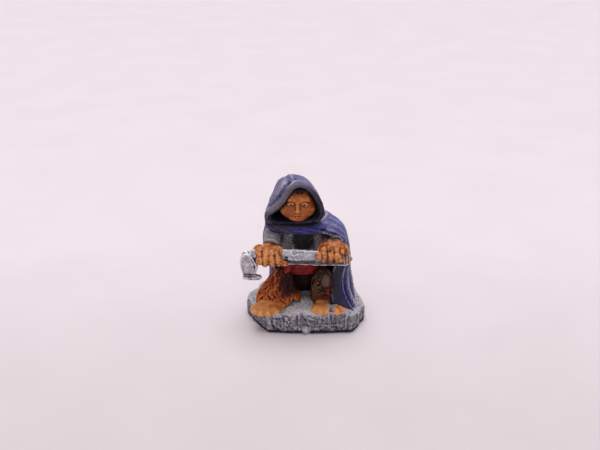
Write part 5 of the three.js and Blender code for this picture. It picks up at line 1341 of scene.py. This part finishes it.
STYLE = {
    # stone: m1 is painted highlight between the feet and on the nub, m2 painted contact shadow round the bottom, m3
    # painted highlight on upward faces
    "stone": dict(a=(118, 112, 121), b=(99, 93, 105), dark=(42, 37, 52), light=(160, 155, 165), light2=(192, 189, 197), wash=0.92, shade=0.42, dry=1.1, rough=(0.6, 0.8), spec=0.25, grit=0.38, m2=(24, 20, 44), m3=(173, 169, 175), m1=(224, 219, 222), order=("m3", "m1", "m2"), veil=0.4, late=("m1",), cover="m2", keep=0.1),
    # skin: m1 is darker mottling, and on the left hand also painted shade on the back of the wrist
    "skin": dict(a=(184, 108, 53), b=(142, 73, 32), dark=(70, 30, 16), light=(216, 146, 86), wash=0.9, dry=1.05, rough=(0.45, 0.62), spec=0.3, m1=(98, 48, 32), m3=(122, 66, 44), cover="m1", keep=0.35),
    "foot": dict(a=(202, 128, 64), b=(182, 105, 49), dark=(104, 50, 26), light=(224, 162, 100), wash=0.8, dry=1.0, rough=(0.48, 0.64), spec=0.3, m1=(150, 146, 152), m2=(74, 32, 18), cover="m3", keep=0.05),
    "face": dict(a=(178, 100, 46), b=(152, 78, 32), dark=(92, 42, 22), light=(208, 132, 72), wash=0.55, dry=0.9, rough=(0.45, 0.62), spec=0.3, m2=(204, 184, 160), m1=(34, 24, 26), m3=(104, 48, 28), order=("m2", "m1", "m3"), cover="m1", keep=0.0),
    # fur: m1 and m3 are painted shade on the right leg's inner side and top
    "fur": dict(a=(166, 78, 34), b=(130, 52, 22), dark=(54, 17, 11), light=(190, 110, 54), wash=0.92, dry=0.95, rough=(0.55, 0.72), spec=0.15, m1=(34, 12, 10), m2=(178, 98, 40), m3=(100, 26, 16), order=("m3", "m1", "m2"), cover="m1", keep=0.3),
    # fur_shadow: m1 is a pinkish-grey painted highlight on the knee
    "fur_shadow": dict(a=(34, 18, 15), b=(48, 25, 18), dark=(10, 6, 7), light=(84, 54, 40), wash=0.9, dry=0.7, rough=(0.55, 0.72), spec=0.15, m1=(104, 80, 78), m2=(132, 54, 26), m3=(120, 90, 66)),
    "dark_brown": dict(a=(50, 30, 26), b=(38, 22, 20), dark=(10, 6, 6), light=(56, 34, 28), wash=0.8, dry=0.5, spec=0.15, rough=(0.6, 0.75)),
    "red": dict(a=(128, 16, 20), b=(98, 10, 14), dark=(36, 5, 8), light=(158, 48, 46), wash=0.8, dry=0.8, spec=0.2),
    # mail: m1 is the black of the chest's centre, partly the shirt's dark paint and partly painted shade under the
    # cowl, and painted shade on the left sleeve's top
    "mail": dict(a=(142, 133, 143), b=(110, 102, 112), dark=(20, 18, 22), light=(152, 146, 154), light2=(166, 160, 168), wash=0.55, dry=1.4, rough=(0.36, 0.52), spec=0.3, metal=0.15, m1=(5, 5, 6), m2=(186, 160, 152), cover="m1"),
    "dark_hair": dict(a=(18, 13, 17), b=(12, 9, 12), dark=(5, 4, 6), light=(46, 36, 40), spec=0.15, dry=0.6),
    # blue_cloth: m2 and m3 are painted shade in the front fold's valley, along the edge over the forearm and on the
    # lower front
    "blue_cloth": dict(a=(78, 78, 140), b=(92, 91, 144), dark=(26, 22, 66), light=(150, 147, 166), light2=(174, 171, 184), wash=0.85, dry=1.2, streak=(1, 1, 0.3), rough=(0.52, 0.7), spec=0.3, m1=(47, 42, 56), m2=(30, 24, 92), m3=(50, 44, 82), veil=0.42, cover=("m1", "m2", "m3"), keep=0.4),
    # hood_cloth: m1 is painted shade inside the hood
    "hood_cloth": dict(a=(88, 87, 134), b=(108, 106, 142), dark=(30, 26, 60), light=(152, 147, 160), light2=(176, 172, 180), wash=0.85, dry=1.2, streak=(1, 1, 0.3), rough=(0.52, 0.7), spec=0.3, m1=(24, 21, 29), veil=0.55, cover="m1", keep=0.0),
    # dark_cloth: m3 is painted shade under the chin
    "dark_cloth": dict(a=(50, 43, 64), b=(38, 33, 52), dark=(12, 9, 18), light=(84, 78, 112), wash=0.8, dry=0.6, rough=(0.55, 0.7), spec=0.15, m2=(54, 50, 118), m3=(14, 12, 18), m1=(76, 76, 136), order=("m2", "m1", "m3"), cover="m3", veil=0.25),
    # rim: m3 is painted shade on the rim's inner side and under the chin
    "rim": dict(a=(31, 25, 42), b=(24, 19, 34), dark=(11, 8, 14), light=(80, 72, 96), wash=0.85, dry=0.7, rough=(0.55, 0.7), spec=0.15, m1=(114, 102, 107), m3=(14, 12, 18), cover="m3", keep=0.05, veil=0.35),
    # grey_haft: m1 is painted shade on the haft's lower facet
    "grey_haft": dict(a=(172, 170, 180), b=(146, 144, 156), dark=(46, 40, 48), light=(212, 212, 220), light2=(232, 232, 238), wash=0.95, dry=1.3, streak=(0.6, 1, 1), rough=(0.42, 0.6), metal=0.1, spec=0.35, m1=(80, 71, 75)),
    "steel": dict(a=(196, 188, 192), b=(158, 148, 154), dark=(58, 50, 60), light=(220, 216, 220), light2=(240, 240, 242), wash=0.85, dry=1.2, rough=(0.3, 0.48), metal=0.3, spec=0.5, m1=(80, 72, 92), patch=0.7),
    "knob": dict(a=(126, 104, 92), b=(98, 80, 78), dark=(36, 28, 34), light=(176, 158, 150), wash=0.9, dry=0.9, rough=(0.35, 0.52), spec=0.35, m1=(44, 38, 66), m2=(176, 96, 48), patch=0.5),
}
MATS = {k: paint("paint_" + k, **s) for k, s in STYLE.items()}


def build_piece(p):
    v = (p["v"] + SHIFT) * MM
    q = p["q"].astype(np.int32)
    me = bpy.data.meshes.new(p["name"])
    me.vertices.add(len(v))
    me.vertices.foreach_set("co", v.astype(np.float32).ravel())
    me.loops.add(q.size)
    me.loops.foreach_set("vertex_index", q.ravel())
    me.polygons.add(len(q))
    me.polygons.foreach_set("loop_start", np.arange(0, q.size, 4, dtype=np.int32))
    me.update(calc_edges=True)
    me.validate()
    me.polygons.foreach_set("use_smooth", np.ones(len(me.polygons), bool))
    for k in ("occ", "cav", "edge"):
        me.attributes.new(k, "FLOAT", "POINT").data.foreach_set("value", p[k].astype(np.float32))
    for k, a in p["extra"].items():
        a = a(p) if callable(a) else a
        me.attributes.new(k, "FLOAT", "POINT").data.foreach_set("value", np.asarray(a, np.float32))
    ob = bpy.data.objects.new(p["name"], me)
    bpy.context.scene.collection.objects.link(ob)
    me.materials.append(MATS[p["mat"]])
    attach(ob, "root")
    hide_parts(p["node"])
    return ob


total = 0
for p in PIECES:
    build_piece(p)
    total += 2 * len(p["q"])
    print(p["name"], len(p["q"]), "quads", "lo", np.round(p["v"].min(0) + SHIFT, 2), "hi", np.round(p["v"].max(0) + SHIFT, 2))
print("triangles", total, "seconds", round(time.time() - _t, 1), flush=True)

# ------------------------------------------------------------------------------------------------ studio
me = bpy.data.meshes.new("floor")
R = 6.0
me.from_pydata([(-R, -R, 0), (R, -R, 0), (R, R, 0), (-R, R, 0)], [], [(0, 1, 2, 3)])
floor = bpy.data.objects.new("floor", me)
bpy.context.scene.collection.objects.link(floor)
N = Nodes("pale_board")
# a board of pale paper, its tone slightly uneven; greyer towards the front edge of the table, which is painted shade
xyz = N.add("ShaderNodeSeparateXYZ")
N.link(N.co, xyz.inputs[0])
back = N.ramp(xyz.outputs[1], -0.045, 0.035)
uneven = N.ramp(N.noise(14, 2, 0.5), 0.3, 0.7)
near = N.mix(uneven, (0.60, 0.548, 0.567, 1), (0.62, 0.566, 0.587, 1))
far = N.mix(uneven, (0.735, 0.67, 0.70, 1), (0.755, 0.69, 0.72, 1))
N.link(N.mix(back, near, far), N.bsdf.inputs["Base Color"])
N.bsdf.inputs["Roughness"].default_value = 0.75
N.bsdf.inputs["Specular IOR Level"].default_value = 0.2
me.materials.append(N.m)

world = bpy.data.worlds.new("room")
bpy.context.scene.world = world
world.use_nodes = True
bg = world.node_tree.nodes["Background"]
# a pale room: brighter towards the walls, dimmer overhead
wt = world.node_tree
wc = wt.nodes.new("ShaderNodeTexCoord")
wx = wt.nodes.new("ShaderNodeSeparateXYZ")
wt.links.new(wc.outputs["Generated"], wx.inputs[0])
wr = wt.nodes.new("ShaderNodeMapRange")
wr.interpolation_type = "SMOOTHSTEP"
for k, x in (("From Min", 0.0), ("From Max", 0.45), ("To Min", 0.84), ("To Max", 0.42)):
    wr.inputs[k].default_value = x
wt.links.new(wx.outputs[2], wr.inputs["Value"])
wt.links.new(wr.outputs["Result"], bg.inputs[1])
bg.inputs[0].default_value = (1.0, 0.955, 0.985, 1)


def area(name, loc, target, size, power, colour):
    d = bpy.data.lights.new(name, "AREA")
    d.shape = "RECTANGLE"
    d.size, d.size_y = size
    d.energy = power
    d.color = colour
    o = bpy.data.objects.new(name, d)
    bpy.context.scene.collection.objects.link(o)
    o.location = loc
    o.rotation_euler = (Vector(target) - Vector(loc)).to_track_quat("-Z", "Y").to_euler()
    return o


d = bpy.data.lights.new("overhead", "SUN")
d.energy = 2.25
d.angle = math.radians(50)
d.color = (1.0, 0.97, 0.985)
o = bpy.data.objects.new("overhead", d)
bpy.context.scene.collection.objects.link(o)
o.location = (0.01, 0.12, 0.38)
o.rotation_euler = Vector((-0.01, -0.07, -0.38)).to_track_quat("-Z", "Y").to_euler()
area("front", (-0.05, -0.42, 0.30), (0, 0, 0.01), (0.30, 0.20), 0.26, (1.0, 0.97, 0.98))

cam = bpy.data.cameras.new("camera")
cam.sensor_width = 36
cam.lens = 951.5 / 600 * 36
cam.clip_start = 0.001
cam.clip_end = 50
co = bpy.data.objects.new("camera", cam)
bpy.context.scene.collection.objects.link(co)
co.location = (-0.00052, -0.11592, 0.0595)
co.rotation_euler = (math.radians(68), 0, 0)
bpy.context.scene.camera = co
bpy.context.scene.view_settings.view_transform = "Standard"
